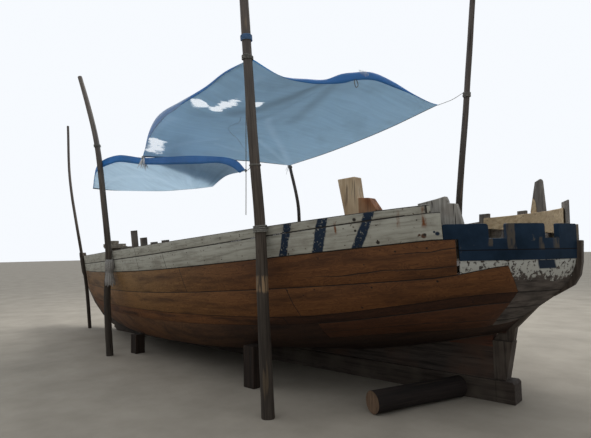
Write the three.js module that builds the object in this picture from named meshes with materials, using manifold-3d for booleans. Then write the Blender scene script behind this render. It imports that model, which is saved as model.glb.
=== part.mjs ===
// A wooden dhow hauled out for repair, about 9.5 m long, standing on its keel between shores and poles,
// with two tarpaulins tied over it. Millimetres; x runs forward, y to port, z up.
// Lengths are laid off from the keel's heel, and the whole model is then moved aft so that its
// origin lies on the keel's sole at ORIGIN.
import * as THREE from 'three';
import Module from 'manifold-3d';

const wasm = await Module();
wasm.setup();

// Driving dimensions
const FIT = 0.4;                 // gap between two pieces that touch
const SEAM = 0.9;                // gap between the edges of two strakes
const PLANK = 38;                // thickness of the hull planking
const KEEL_HALF = 100;           // half the keel's width
const KEEL_TOP = 200;            // height of the keel's top above the ground
const POST_HALF = 45;            // half the width of stem and stern posts
const SHEER_FORE = 1420;         // height of the sheer at the stem
const SHEER_RISE = 370;          // how far the sheer rises from the stem to the white band's aft end
const BAND_AFT = 200;            // where the white bulwark band ends, aft
const BAND_LENGTH = 8700;        // from there to the stem head
const FRAME_FIRST = 640;         // first frame's place
const FRAME_STEP = 290;          // frame spacing
const FRAME_COUNT = 24;
const FRAME_SIDED = 60;          // a frame's width along the boat
const FRAME_MOULDED = 75;        // a frame's depth
const DECK = 30;                 // thickness of deck planks
const AFT_DECK_TOP = 1280;
const FORE_DECK_TOP = 1090;
const BEAM_HEIGHT = 80;
const BEAM_WIDTH = 80;

const CELLS = 34;                // lengthwise cells of the planking
const ORIGIN = 3600;             // the origin's place forward of the heel

const COLORS = {
  whitePaint: 0xa3a49c, navyPaint: 0x232b42, freshWood: 0x9a7650, oldWood: 0x4a3a2c, greyWood: 0x7d776c,
  darkWood: 0x3b3029, poleBark: 0x7a6f62, tarpBlue: 0x3f66b8, tarpPale: 0xb9c8dc, newPlank: 0xc7a574,
};

const model = new THREE.Group();
model.position.x = -ORIGIN;

function material(color, roughness = 0.85) {
  return new THREE.MeshStandardMaterial({ color, roughness, metalness: 0 });
}

function addMesh(name, body, color) {
  const mesh = new THREE.Mesh(toGeometry(body), material(color));
  mesh.name = name;
  model.add(mesh);
}

// Small helpers for closed solids

function vec(x, y, z) {
  return new THREE.Vector3(x, y, z);
}

function signedVolume(points, faces) {
  let sum = 0;
  for (const [a, b, c] of faces) {
    sum += points[a].dot(vec(0, 0, 0).crossVectors(points[b], points[c])) / 6;
  }
  return sum;
}

// One closed body from points and triangles, turned so that its faces point out
function closedBody(points, faces) {
  const outward = signedVolume(points, faces) > 0;
  const order = outward ? faces : faces.map(([a, b, c]) => [a, c, b]);
  return { points, faces: order };
}

function toGeometry({ points, faces }) {
  const geometry = new THREE.BufferGeometry();
  const numbers = points.flatMap((p) => [p.x, p.y, p.z]);
  geometry.setAttribute('position', new THREE.Float32BufferAttribute(numbers, 3));
  geometry.setIndex(faces.flat());
  geometry.computeVertexNormals();
  return geometry;
}

function toSolid({ points, faces }) {
  return new wasm.Manifold(new wasm.Mesh({
    numProp: 3,
    vertProperties: new Float32Array(points.flatMap((p) => [p.x, p.y, p.z])),
    triVerts: new Uint32Array(faces.flat()),
  }));
}

function fromSolid(solid) {
  const { vertProperties, triVerts, numProp } = solid.getMesh();
  const points = [];
  for (let i = 0; i < vertProperties.length; i += numProp) {
    points.push(vec(vertProperties[i], vertProperties[i + 1], vertProperties[i + 2]));
  }
  const faces = [];
  for (let i = 0; i < triVerts.length; i += 3) {
    faces.push([triVerts[i], triVerts[i + 1], triVerts[i + 2]]);
  }
  return { points, faces };
}

// Joins pieces that are fastened to each other into one body, with small sealed pockets filled
function join(bodies) {
  const whole = bodies.map(toSolid).reduce((sum, piece) => sum.add(piece));
  const [body] = whole.decompose().sort((a, b) => b.volume() - a.volume());
  return fromSolid(body);
}

// A slab between two grids of points with the same rows and columns; open cells are left out
function slab(front, back, isOpen = () => false) {
  const rowCount = front.length;
  const columnCount = front[0].length;
  const points = [];
  const seen = new Map();
  const at = (grid, key, r, c) => {
    const label = `${key} ${r} ${c}`;
    if (!seen.has(label)) {
      seen.set(label, points.length);
      points.push(grid[r][c]);
    }
    return seen.get(label);
  };
  const f = (r, c) => at(front, 'front', r, c);
  const b = (r, c) => at(back, 'back', r, c);
  const solid = (r, c) => r >= 0 && c >= 0 && r < rowCount - 1 && c < columnCount - 1 && !isOpen(r, c);
  const faces = [];
  const quad = (p, q, s, t) => faces.push([p, q, s], [p, s, t]);
  for (let r = 0; r < rowCount - 1; r += 1) {
    for (let c = 0; c < columnCount - 1; c += 1) {
      if (!solid(r, c)) {
        continue;
      }
      quad(f(r, c), f(r, c + 1), f(r + 1, c + 1), f(r + 1, c));
      quad(b(r, c), b(r + 1, c), b(r + 1, c + 1), b(r, c + 1));
      if (!solid(r - 1, c)) {
        quad(b(r, c), b(r, c + 1), f(r, c + 1), f(r, c));
      }
      if (!solid(r + 1, c)) {
        faces.push([f(r + 1, c), f(r + 1, c + 1), b(r + 1, c)]);
        faces.push([f(r + 1, c + 1), b(r + 1, c + 1), b(r + 1, c)]);
      }
      if (!solid(r, c - 1)) {
        quad(f(r, c), f(r + 1, c), b(r + 1, c), b(r, c));
      }
      if (!solid(r, c + 1)) {
        quad(b(r, c + 1), b(r + 1, c + 1), f(r + 1, c + 1), f(r, c + 1));
      }
    }
  }
  return closedBody(points, faces);
}

// A solid between outlines with equally many points, capped at both ends
function loft(outlines, flat = null) {
  const count = outlines[0].length;
  const points = outlines.flat();
  const faces = [];
  for (let k = 0; k < outlines.length - 1; k += 1) {
    for (let i = 0; i < count; i += 1) {
      const j = (i + 1) % count;
      const a = k * count + i;
      const b = k * count + j;
      faces.push([a, b, b + count], [a, b + count, a + count]);
    }
  }
  const project = flat ?? ((p) => new THREE.Vector2(p.y, p.z));
  const clockwise = THREE.ShapeUtils.isClockWise(outlines[0].map(project));
  const last = (outlines.length - 1) * count;
  const cap = (outline, first, flip) => {
    for (const [a, b, c] of THREE.ShapeUtils.triangulateShape(outline.map(project), [])) {
      faces.push(flip ? [first + a, first + c, first + b] : [first + a, first + b, first + c]);
    }
  };
  cap(outlines[0], 0, !clockwise);
  cap(outlines.at(-1), last, clockwise);
  return closedBody(points, faces);
}

function mirrored(body) {
  const points = body.points.map((p) => vec(p.x, -p.y, p.z));
  return { points, faces: body.faces.map(([a, b, c]) => [a, c, b]) };
}

function onSide(side, body) {
  return side > 0 ? body : mirrored(body);
}

const SIDES = [
  { name: 'port', sign: 1 },
  { name: 'starboard', sign: -1 },
];

// The hull's outside.
// Offsets of five fair lines at ten stations from the stern post to the stem.
// Columns of every line: x forward, y half-breadth, z height.
const STATIONS = [
  // rabbet              bilge                 turn                  load                  rail
  [[30, 75, 640],    [-95, 46, 770],    [-455, 46, 1060],  [-555, 46, 1200],  [-590, 46, 1820]],
  [[120, 75, 620],   [-20, 330, 755],   [-320, 360, 1060], [-420, 400, 1215], [-450, 450, 1820]],
  [[300, 75, 580],   [140, 560, 735],   [0, 720, 1040],    [-80, 790, 1220],  [-100, 870, 1820]],
  [[700, 75, 480],   [600, 790, 690],   [550, 1020, 950],  [500, 1110, 1190], [500, 1210, 1820]],
  [[1600, 80, 310],  [1500, 1000, 570], [1500, 1250, 810], [1500, 1355, 1090], [1500, 1465, 1820]],
  [[3200, 90, 200],  [3200, 1060, 335], [3200, 1310, 720], [3200, 1420, 970], [3200, 1530, 1820]],
  [[4700, 90, 200],  [4800, 890, 265],  [4900, 1120, 675], [5000, 1200, 940], [5000, 1320, 1820]],
  [[6000, 80, 200],  [6100, 580, 260],  [6400, 700, 630],  [6600, 745, 930],  [6800, 860, 1820]],
  [[7000, 65, 200],  [7200, 270, 320],  [7600, 320, 630],  [7950, 300, 950],  [8200, 365, 1820]],
  [[7740, 46, 250],  [7930, 46, 350],   [8330, 46, 660],   [8650, 46, 985],   [8930, 46, 1820]],
];
const BILGE = 0.25;
const TURN = 0.5;

const fairLines = [0, 1, 2, 3, 4].map((k) => (
  new THREE.CatmullRomCurve3(STATIONS.map((row) => vec(...row[k])), false, 'centripetal')
));

// A point of the hull's outside; u runs from stern to stem, v from the rabbet up.
// The rabbet never dips below the keel's top.
function hullPoint(u, v) {
  const stops = fairLines.map((line) => line.getPoint(u));
  stops[0].z = Math.max(stops[0].z, KEEL_TOP + FIT);
  const section = new THREE.CatmullRomCurve3(stops, false, 'centripetal');
  return section.getPoint(v);
}

function hullNormal(u, v) {
  const d = 0.004;
  const along = hullPoint(Math.min(u + d, 1), v).sub(hullPoint(Math.max(u - d, 0), v));
  const up = hullPoint(u, Math.min(v + d, 1)).sub(hullPoint(u, Math.max(v - d, 0)));
  const normal = vec(0, 0, 0).crossVectors(up, along).normalize();
  return normal.y < 0 ? normal.negate() : normal;
}

// The girth at which the section at u reaches height z
function girthAt(u, z) {
  let low = BILGE;
  let high = 1;
  for (let step = 0; step < 40; step += 1) {
    const mid = (low + high) / 2;
    if (hullPoint(u, mid).z < z) {
      low = mid;
    } else {
      high = mid;
    }
  }
  return (low + high) / 2;
}

function sheerHeight(x) {
  const run = Math.min(Math.max((x - BAND_AFT) / BAND_LENGTH, 0), 1);
  return SHEER_FORE + SHEER_RISE * (1 - run) ** 2;
}

// Seams of the strakes, as drops below the sheer line aft, amidships and forward
const SEAM_DROPS = {
  //          aft  mid  fore
  sheer:    [0,   0,   0],
  railSeam: [65,  125, 165],
  bandLow:  [290, 320, 290],
  upperLow: [600, 600, 530],
};
const MID_RUN = 0.4;
// Aft of the white band the lower brown strake's upper seam climbs towards the navy one
const QUARTER_CLIMB = { slope: 0.23, most: 95 };

// Level seams of the navy strake on the quarter
const LEVEL_SEAMS = { navyLow: 1325, navyFloor: 1500, navyTop: 1620 };

// Seams that keep to one girth all along the boat
const GIRTH_SEAMS = {
  rabbet: 0, bottomA: 0.083, bottomB: 0.167, bilge: BILGE, bilgeA: 0.34, darkLow: 0.425, turn: TURN,
};

function seamHeight(name, x) {
  const [aft, mid, fore] = SEAM_DROPS[name];
  const run = Math.min(Math.max((x - BAND_AFT) / BAND_LENGTH, 0), 1);
  const drop = run < MID_RUN
    ? aft + (mid - aft) * (run / MID_RUN)
    : mid + (fore - mid) * ((run - MID_RUN) / (1 - MID_RUN));
  const rise = Math.min(QUARTER_CLIMB.slope * Math.max(BAND_AFT - x, 0), QUARTER_CLIMB.most);
  const climb = name === 'upperLow' ? rise : 0;
  return sheerHeight(x) - drop + climb;
}

function seamGirth(name, u) {
  if (name in GIRTH_SEAMS) {
    return GIRTH_SEAMS[name];
  }
  if (name in LEVEL_SEAMS) {
    return girthAt(u, LEVEL_SEAMS[name]);
  }
  let girth = 0.75;
  for (let pass = 0; pass < 3; pass += 1) {
    girth = girthAt(u, seamHeight(name, hullPoint(u, girth).x));
  }
  return girth;
}

// A row of points along the planking, outside and inside, that all strakes beside it share.
// The inside ends are trimmed to the face of the post.
function plankRow(girths) {
  const outer = [];
  const inner = [];
  girths.forEach((girth, i) => {
    const u = i / CELLS;
    const point = hullPoint(u, girth);
    outer.push(point);
    inner.push(point.clone().addScaledVector(hullNormal(u, girth), -PLANK));
  });
  const face = POST_HALF + FIT;
  for (const [end, next] of [[0, 1], [CELLS, CELLS - 1]]) {
    const along = outer[end].clone().sub(outer[next]);
    if (along.y < 0 && inner[next].y > face) {
      inner[end] = inner[next].clone().addScaledVector(along, (face - inner[next].y) / along.y);
    }
  }
  for (const point of [...outer, ...inner]) {
    point.y = Math.max(point.y, face);
  }
  return { outer, inner, girths };
}

function mixRow(low, high, part) {
  return plankRow(low.girths.map((girth, i) => girth + (high.girths[i] - girth) * part));
}

const rows = {};
for (const name of [...Object.keys(GIRTH_SEAMS), ...Object.keys(LEVEL_SEAMS), ...Object.keys(SEAM_DROPS)]) {
  rows[name] = plankRow(Array.from({ length: CELLS + 1 }, (_, i) => seamGirth(name, i / CELLS)));
}
rows.lowerA = mixRow(rows.turn, rows.upperLow, 0.5);
rows.upperA = mixRow(rows.upperLow, rows.bandLow, 0.5);

// Rows in order from the keel up, forward of the quarter and on the quarter
const FORE_ROWS = ['rabbet', 'bottomA', 'bottomB', 'bilge', 'bilgeA', 'darkLow', 'turn', 'lowerA', 'upperLow',
  'upperA', 'bandLow', 'railSeam', 'sheer'];
const QUARTER_ROWS = ['bilge', 'bilgeA', 'darkLow', 'turn', 'lowerA', 'upperLow', 'navyLow', 'navyFloor'];

function onRow(row, u) {
  const cell = Math.min(Math.floor(u * CELLS), CELLS - 1);
  const part = u * CELLS - cell;
  return {
    outer: row.outer[cell].clone().lerp(row.outer[cell + 1], part),
    inner: row.inner[cell].clone().lerp(row.inner[cell + 1], part),
  };
}

// One strake between the first and the last of its rows; aft and fore are its ends along u,
// one for the whole strake or one for each row
const SLIVER = 0.0002;

function strake(names, { aft = 0, fore = 1, proud = 0 } = {}) {
  const starts = names.map((_, r) => aft[r] ?? aft);
  const stops = names.map((_, r) => fore[r] ?? fore);
  const first = Math.floor(Math.min(...starts) * CELLS);
  const last = Math.ceil(Math.max(...stops) * CELLS);
  return planking(names, proud, (r) => Array.from({ length: last - first + 1 }, (_, i) => (
    Math.min(Math.max((first + i) / CELLS, starts[r] + SLIVER * i), stops[r] - SLIVER * (last - first - i))
  )));
}

function planking(names, proud, columnsOf, isOpen) {
  const front = [];
  const back = [];
  names.forEach((name, r) => {
    const points = columnsOf(r).map((u) => onRow(rows[name], u));
    front.push(points.map(({ outer, inner }) => (
      outer.clone().addScaledVector(outer.clone().sub(inner).normalize(), proud)
    )));
    back.push(points.map(({ inner }) => inner));
  });
  easeEdges(front);
  easeEdges(back);
  return slab(front, back, isOpen);
}

// Draws the first and last rows in by half a seam
function easeEdges(grid) {
  for (const [edge, next] of [[0, 1], [grid.length - 1, grid.length - 2]]) {
    grid[edge] = grid[edge].map((p, i) => (
      p.clone().addScaledVector(grid[next][i].clone().sub(p).normalize(), SEAM / 2)
    ));
  }
}

// Where strakes end, as shares of the boat's length
const ENDS = {
  railStrake: 0.2895,  // aft end of the upper white strake
  band: 0.2775,        // aft end of the lower white strake
  brown: 0.262,        // aft end of the upper brown strake
  navy: 0.258,         // navy strake's forward end
  quarterTop: 0.186,   // slanted end of the lower brown strake
  quarterMid: 0.168,
  quarterLow: 0.150,
  freshFore: 0.43,     // forward end of the fresh lower planks
};
const BUTT = 0.0006;
const SLANT = [ENDS.quarterLow, ENDS.quarterMid, ENDS.quarterTop];
const LEVEL_END = Array(4).fill(ENDS.quarterLow - BUTT);

const from = (a, b, names = FORE_ROWS) => names.slice(names.indexOf(a), names.indexOf(b) + 1);

// Columns: name, rows, ends, how proud it stands, colour
const STRAKES = [
  ['bottom_planking', from('rabbet', 'bilge'), {}, COLORS.darkWood],
  ['fresh_lower_planks', from('bilge', 'darkLow'),
    { aft: ENDS.quarterLow, fore: ENDS.freshFore, proud: 3 }, COLORS.freshWood],
  ['bilge_planking', from('bilge', 'darkLow'), { aft: ENDS.freshFore + BUTT }, COLORS.darkWood],
  ['dark_strake', from('darkLow', 'turn'), { aft: ENDS.quarterLow }, COLORS.oldWood],
  ['lower_brown_strake', from('turn', 'upperLow'), { aft: SLANT, proud: 4 }, COLORS.freshWood],
  ['upper_brown_strake', from('upperLow', 'bandLow'), { aft: ENDS.brown, proud: 4 }, COLORS.freshWood],
  ['lower_white_strake', from('bandLow', 'railSeam'), { aft: ENDS.band, proud: 8 }, COLORS.whitePaint],
  ['upper_white_strake', from('railSeam', 'sheer'), { aft: ENDS.railStrake, proud: 8 }, COLORS.whitePaint],
  ['quarter_planking', from('bilge', 'navyLow', QUARTER_ROWS),
    { fore: [...LEVEL_END, ...SLANT.slice(1).map((u) => u - BUTT), ENDS.quarterTop - BUTT] }, COLORS.oldWood],
  ['quarter_strip', ['upperLow', 'navyLow'],
    { aft: ENDS.quarterTop + BUTT, fore: ENDS.navy }, COLORS.oldWood],
];

// The navy strake reaches to the brown one. The blocks above it reach to the white one,
// with gaps between them.
const NAVY_PROUD = 6;
const NAVY_BLOCKS_FORE = ENDS.band - BUTT;
const BULWARK_GAPS = [
  // aft   fore
  [0.0708, 0.1136],
  [0.187, 0.2155],
];

function navyBulwark() {
  const edges = [...BULWARK_GAPS.flat(), ENDS.navy, NAVY_BLOCKS_FORE];
  const grid = Array.from({ length: Math.floor(NAVY_BLOCKS_FORE * CELLS) + 1 }, (_, i) => i / CELLS);
  const columns = [...grid, ...edges].sort((a, b) => a - b);
  const isOpen = (r, c) => {
    const middle = (columns[c] + columns[c + 1]) / 2;
    const inGap = BULWARK_GAPS.some(([aft, fore]) => middle > aft && middle < fore);
    return r === 0 ? middle > ENDS.navy : inGap;
  };
  return planking(['navyLow', 'navyFloor', 'navyTop'], NAVY_PROUD, () => columns, isOpen);
}

for (const { name, sign } of SIDES) {
  for (const [label, names, ends, color] of STRAKES) {
    addMesh(`${name}_${label}`, onSide(sign, strake(names, ends)), color);
  }
  addMesh(`${name}_navy_bulwark`, onSide(sign, navyBulwark()), COLORS.navyPaint);
}

// A piece between two upright planes that run along the boat, from an outline of [x, z] points
function uprightPlate(outline, inner, outer) {
  const face = (y) => outline.map(([x, z]) => vec(x, y, z));
  return loft([face(inner), face(outer)], (p) => new THREE.Vector2(p.x, p.z));
}

function centrePlate(outline, half) {
  return uprightPlate(outline, -half, half);
}

// Backbone
const HEEL = 130;
const KEEL_FORE = 7255;
const DEADWOOD_HALF = 70;
const POST_FORE = 150;

addMesh('keel', centrePlate(
  [[HEEL + FIT, 0], [KEEL_FORE - 120, 0], [KEEL_FORE, 60], [KEEL_FORE, KEEL_TOP], [HEEL + FIT, KEEL_TOP]],
  KEEL_HALF), COLORS.greyWood);
addMesh('heel_block', centrePlate(
  [[-40, 0], [HEEL, 0], [HEEL, KEEL_TOP], [-20, KEEL_TOP], [-40, KEEL_TOP - 20]], KEEL_HALF,
), COLORS.darkWood);

// The deadwood fills the wedge between keel and garboards
function rabbetLine(fromX, toX) {
  return rows.rabbet.outer.filter((p) => p.x > fromX && p.x < toX).map((p) => [p.x, p.z - FIT]);
}
const DEADWOOD_FORE = 2750;
const wedgeTop = rabbetLine(POST_FORE + 20, DEADWOOD_FORE);
addMesh('deadwood', centrePlate(
  [[POST_FORE + FIT, KEEL_TOP + FIT], [wedgeTop.at(-1)[0], KEEL_TOP + FIT], ...wedgeTop.reverse(),
    [POST_FORE + FIT, wedgeTop.at(-1)[1]]], DEADWOOD_HALF), COLORS.greyWood);

const POST_TOP = 560;
addMesh('stern_post', centrePlate(
  [[40, KEEL_TOP + FIT], [POST_FORE, KEEL_TOP + FIT], [POST_FORE, POST_TOP], [-30, POST_TOP]],
  DEADWOOD_HALF), COLORS.greyWood);

// Curved counter post: its outer edge, then its inner edge
addMesh('counter_post', centrePlate([
  [-30, POST_TOP + FIT], [-54, 682], [-304, 952], [-387, 991], [-548, 1093],
  [-598, 1179], [-618, 1290], [-628, 1478], [-500, 1480], [-488, 1260],
  [-430, 1140], [-330, 1060], [-170, 950], [60, 690], [POST_FORE, POST_TOP + FIT],
], POST_HALF), COLORS.oldWood);

addMesh('stem_post', centrePlate([
  [KEEL_FORE + FIT, 60], [7520, 110], [7825, 245], [8171, 465], [8491, 762],
  [8779, 1073], [8909, 1418], [8925, 1490], [8790, 1490], [8640, 1120],
  [8340, 800], [8020, 520], [7650, 310], [KEEL_FORE + FIT, 215],
], POST_HALF), COLORS.oldWood);

// Frames
const SKIN_GAP = 5;              // between a frame and the planking
const CANT_FRAMES = [-400, -190, 60, 350];
const mainFrames = Array.from({ length: FRAME_COUNT }, (_, k) => FRAME_FIRST + k * FRAME_STEP);
const frameFaces = (x) => [x - FRAME_SIDED / 2, x + FRAME_SIDED / 2];

// Where the inside of the planking crosses the plane at x, row by row; null where a row misses it
function crossing(name, x, face = 'inner') {
  const line = rows[name][face];
  for (let i = 0; i < line.length - 1; i += 1) {
    const [a, b] = [line[i], line[i + 1]];
    if (a.x <= x && x < b.x) {
      return a.clone().lerp(b, (x - a.x) / (b.x - a.x));
    }
  }
  return null;
}

// Rows that a frame at x can follow; where the hull closes in on the post a frame starts higher up
const NARROW = 170;

function sectionNames(x) {
  const names = x < BAND_AFT ? [...QUARTER_ROWS, 'navyTop'] : FORE_ROWS.slice(FORE_ROWS.indexOf('bilge'));
  return names.filter((name) => frameFaces(x).every((face) => (crossing(name, face)?.y ?? 0) > NARROW));
}

// Moves an open line of points in the plane at x inboard by a distance
function inboard(line, distance) {
  return line.map((p, i) => {
    const before = line[Math.max(i - 1, 0)];
    const after = line[Math.min(i + 1, line.length - 1)];
    const run = after.clone().sub(before).normalize();
    return vec(p.x, p.y - run.z * distance, p.z + run.y * distance);
  });
}

// The section line at a frame's face, stopped or drawn on at the height of the frame's head
function sectionLine(face, names, top) {
  const line = names.map((name) => crossing(name, face));
  const kept = line.filter((p) => p.z < top - 10);
  const last = kept.at(-1);
  const next = line[kept.length] ?? last.clone().multiplyScalar(2).sub(kept.at(-2));
  kept.push(last.clone().lerp(next, (top - last.z) / (next.z - last.z)));
  return kept;
}

// A main frame's futtock stands on its floor timber at the bilge; a cant frame starts where it can
const FLOOR_ROWS = ['rabbet', 'bottomA', 'bottomB'];

function futtock(x, top) {
  const below = x < FRAME_FIRST ? [] : FLOOR_ROWS;
  const outlines = frameFaces(x).map((face) => {
    const line = sectionLine(face, [...below, ...sectionNames(x)], top);
    const skin = inboard(line, SKIN_GAP).slice(below.length);
    const inside = inboard(line, SKIN_GAP + FRAME_MOULDED).slice(below.length);
    skin[0].lerp(skin[1], 0.01);
    inside[0].lerp(inside[1], 0.01);
    return [...skin, ...inside.reverse()];
  });
  return loft(outlines);
}

const HEAD_BELOW_SHEER = 45;
// Frame heads that stand above the rail; columns: frame's place, height of its head on each side
const HEADS = [
  [-400, { port: 1530, starboard: 1775 }],
  [-190, { port: 1485, starboard: 1600 }],
  [60, { port: 1600, starboard: 1600 }],
  [3540, { port: 1590, starboard: 1520 }],
  [3830, { port: 1575, starboard: 1510 }],
  [4120, { port: 1640, starboard: 1500 }],
  [4410, { port: 1745, starboard: 1490 }],
];

function headHeight(x, side) {
  const named = HEADS.find(([place]) => place === x);
  return named ? named[1][side] : sheerHeight(x) - HEAD_BELOW_SHEER;
}

const SUNK = 6;                  // how far a let-in piece lies in the one that it is fastened to

// Half-breadth at x and height z, some way inboard of the planking's inside; drawn on above the last row
function breadthInside(x, z, distance, names) {
  const line = inboard(names.map((name) => crossing(name, x)), distance);
  const above = line.findIndex((p) => p.z > z);
  const k = above < 0 ? line.length - 1 : Math.max(above, 1);
  const [a, b] = [line[k - 1], line[k]];
  return a.y + (b.y - a.y) * ((z - a.z) / (b.z - a.z));
}

// Inboard face of the frames at x and height z
function framesInside(x, z) {
  const names = sectionNames(x).filter((name) => crossing(name, x));
  return breadthInside(x, z, SKIN_GAP + FRAME_MOULDED, names);
}

// Timber heads wider than their frames, on the starboard quarter.
// Columns: the group whose frame carries it, its depth, then its levels with height, aft and fore face.
const WIDE_HEADS = [
  ['cant', 40, [[1450, -500, -385], [1850, -500, -385]]],
  ['cant', 65, [[1450, -190, -10], [1810, -180, 0], [2120, -147, -60], [2141, -135, -120]]],
  ['cant', 65, [[1450, 60, 170], [1830, 60, 170]]],
  ['aft', 65, [[1450, 550, 680], [1840, 550, 680]]],
];

function wideHead(depth, levels) {
  return loft(levels.map(([z, aft, fore]) => {
    const corner = (x, distance) => {
      const names = x < BAND_AFT
        ? ['navyLow', 'navyFloor', 'navyTop']
        : ['upperA', 'bandLow', 'railSeam', 'sheer'];
      return vec(x, breadthInside(x, z, distance, names), z);
    };
    const [skin, inside] = [SKIN_GAP, SKIN_GAP + depth];
    return [corner(aft, skin), corner(fore, skin), corner(fore, inside), corner(aft, inside)];
  }), (p) => new THREE.Vector2(p.x, p.y));
}

// A stringer let into the inboard faces of the frames; its height follows topAt
function stringer(places, topAt, height, width) {
  return loft(places.map((x) => {
    const top = topAt(x);
    const low = top - height;
    const highY = framesInside(x, top) + SUNK;
    const lowY = framesInside(x, low) + SUNK;
    return [vec(x, lowY, low), vec(x, highY, top), vec(x, highY - width, top), vec(x, lowY - width, low)];
  }));
}

// Underside of the decks and top of the beams
const DECK_EASE = [1100, 5880];
function deckBottom(x) {
  const [aft, fore] = [AFT_DECK_TOP - DECK, FORE_DECK_TOP - DECK];
  const part = Math.min(Math.max((x - DECK_EASE[0]) / (DECK_EASE[1] - DECK_EASE[0]), 0), 1);
  return aft + (fore - aft) * part;
}
const SHELF_HEIGHT = 100;
const SHELF_WIDTH = 50;
const shelfTop = (x) => deckBottom(x) - BEAM_HEIGHT - FIT;

const halfStep = FRAME_STEP / 2;
// Frames fastened together by their stretch of the beam shelf;
// columns: name, frames, shelf's aft and fore end
const FRAME_GROUPS = [
  ['cant', CANT_FRAMES, -215, 500],
  ['aft', mainFrames.slice(0, 8), 500 + FIT, mainFrames[7] + halfStep],
  ['middle', mainFrames.slice(8, 16), mainFrames[7] + halfStep + FIT, mainFrames[15] + halfStep],
  ['fore', mainFrames.slice(16), mainFrames[15] + halfStep + FIT, mainFrames.at(-1) + FRAME_SIDED / 2],
];
const INNER_RAIL_TOP = 1440;

for (const { name, sign } of SIDES) {
  for (const [group, places, aft, fore] of FRAME_GROUPS) {
    const futtocks = places.map((x) => futtock(x, headHeight(x, name)));
    const faces = places.flatMap(frameFaces).filter((x) => x > aft && x < fore);
    const bodies = [...futtocks, stringer([aft, ...faces, fore], shelfTop, SHELF_HEIGHT, SHELF_WIDTH)];
    if (group === 'cant') {
      bodies.push(stringer(places.flatMap(frameFaces), () => INNER_RAIL_TOP, SHELF_HEIGHT, SHELF_WIDTH));
    }
    if (sign < 0) {
      const heads = WIDE_HEADS.filter(([carrier]) => carrier === group);
      bodies.push(...heads.map(([, depth, levels]) => wideHead(depth, levels)));
    }
    addMesh(`${name}_${group}_frames`, onSide(sign, join(bodies)), COLORS.greyWood);
  }
}

// Floor timbers lie across the keel; the keelson is let into them
const KEELSON_HALF = 60;
const KEELSON_HEIGHT = 110;
const FLOOR_DEPTH = 160;
const rabbetHeight = (x) => crossing('rabbet', x, 'outer').z;
const floorTop = (x) => rabbetHeight(x) + FLOOR_DEPTH;

function floorTimber(x) {
  const outlines = frameFaces(x).map((face) => {
    const line = [...FLOOR_ROWS, 'bilge', 'bilgeA'].map((name) => crossing(name, face));
    const skin = inboard(line, SKIN_GAP).slice(0, -1);
    const end = inboard(line, SKIN_GAP + FRAME_MOULDED).at(-2);
    const foot = vec(face, DEADWOOD_HALF - 15, rabbetHeight(face) + FIT);
    const half = [foot, ...skin, end, vec(face, KEELSON_HALF, floorTop(face))];
    return [...half, ...half.map((p) => vec(p.x, -p.y, p.z)).reverse()];
  });
  return loft(outlines);
}

// The foremost frame stands on the stem and has no floor timber
const floorPlaces = mainFrames.slice(0, -1);
const faceGrid = floorPlaces.flatMap(frameFaces);
const keelson = loft(faceGrid.map((x) => {
  const low = floorTop(x) - SUNK;
  const high = low + KEELSON_HEIGHT;
  return [
    vec(x, -KEELSON_HALF, low), vec(x, KEELSON_HALF, low),
    vec(x, KEELSON_HALF, high), vec(x, -KEELSON_HALF, high),
  ];
}));
addMesh('keelson_and_floors', join([keelson, ...floorPlaces.map(floorTimber)]), COLORS.greyWood);

// Beams and decks
function plate(outline, low, high) {
  const face = (z) => outline.map(([x, y]) => vec(x, y, z));
  return loft([face(low), face(high)], (p) => new THREE.Vector2(p.x, p.y));
}

function beam(x) {
  const [aft, fore] = [x - BEAM_WIDTH / 2, x + BEAM_WIDTH / 2];
  const low = shelfTop(aft) + FIT;
  const reach = Math.min(...[aft, fore].map((end) => framesInside(end, low)));
  return plate([[aft, -reach], [fore, -reach], [fore, reach], [aft, reach]], low, low + BEAM_HEIGHT + FIT);
}

// A deck laid on its beams, drawn in from the frames by a hand's clearance
const DECK_CLEAR = 12;

function deck(aft, fore, beams) {
  const crossings = [...CANT_FRAMES, ...mainFrames].flatMap(frameFaces);
  const places = [aft, ...crossings.filter((x) => x > aft && x < fore), fore];
  const low = deckBottom(fore);
  const reach = places.map((x) => [x, framesInside(x, low) - DECK_CLEAR]);
  const outline = [...reach.map(([x, y]) => [x, -y]), ...reach.reverse()];
  return join([plate(outline, low, low + DECK), ...beams.map(beam)]);
}

const AFT_BEAMS = [205, 495, 785, 1050];
const FORE_BEAMS = [6050, 6295, 6585, 6875, 7165];
const HOLD_BEAMS = [2235, 3395, 4555];
addMesh('aft_deck', deck(-205, 1090, AFT_BEAMS), COLORS.greyWood);
addMesh('foredeck', deck(6002, 7340, FORE_BEAMS), COLORS.greyWood);
HOLD_BEAMS.forEach((x, k) => addMesh(`hold_beam_${k + 1}`, beam(x), COLORS.greyWood));

// Mast step: a block on the keelson with a square socket right through
const STEP = { x: 4265, length: 420, half: 100, height: 130, socket: 70 };
function mastStep() {
  const low = floorTop(STEP.x) - SUNK + KEELSON_HEIGHT + FIT;
  const box = (halfLength, half, z0, z1) => {
    const [aft, fore] = [STEP.x - halfLength, STEP.x + halfLength];
    return plate([[aft, -half], [fore, -half], [fore, half], [aft, half]], z0, z1);
  };
  const block = toSolid(box(STEP.length / 2, STEP.half, low, low + STEP.height));
  const socket = toSolid(box(STEP.socket, STEP.socket * 0.7, low - 1, low + STEP.height + 1));
  return fromSolid(block.subtract(socket));
}
addMesh('mast_step', mastStep(), COLORS.greyWood);

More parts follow.
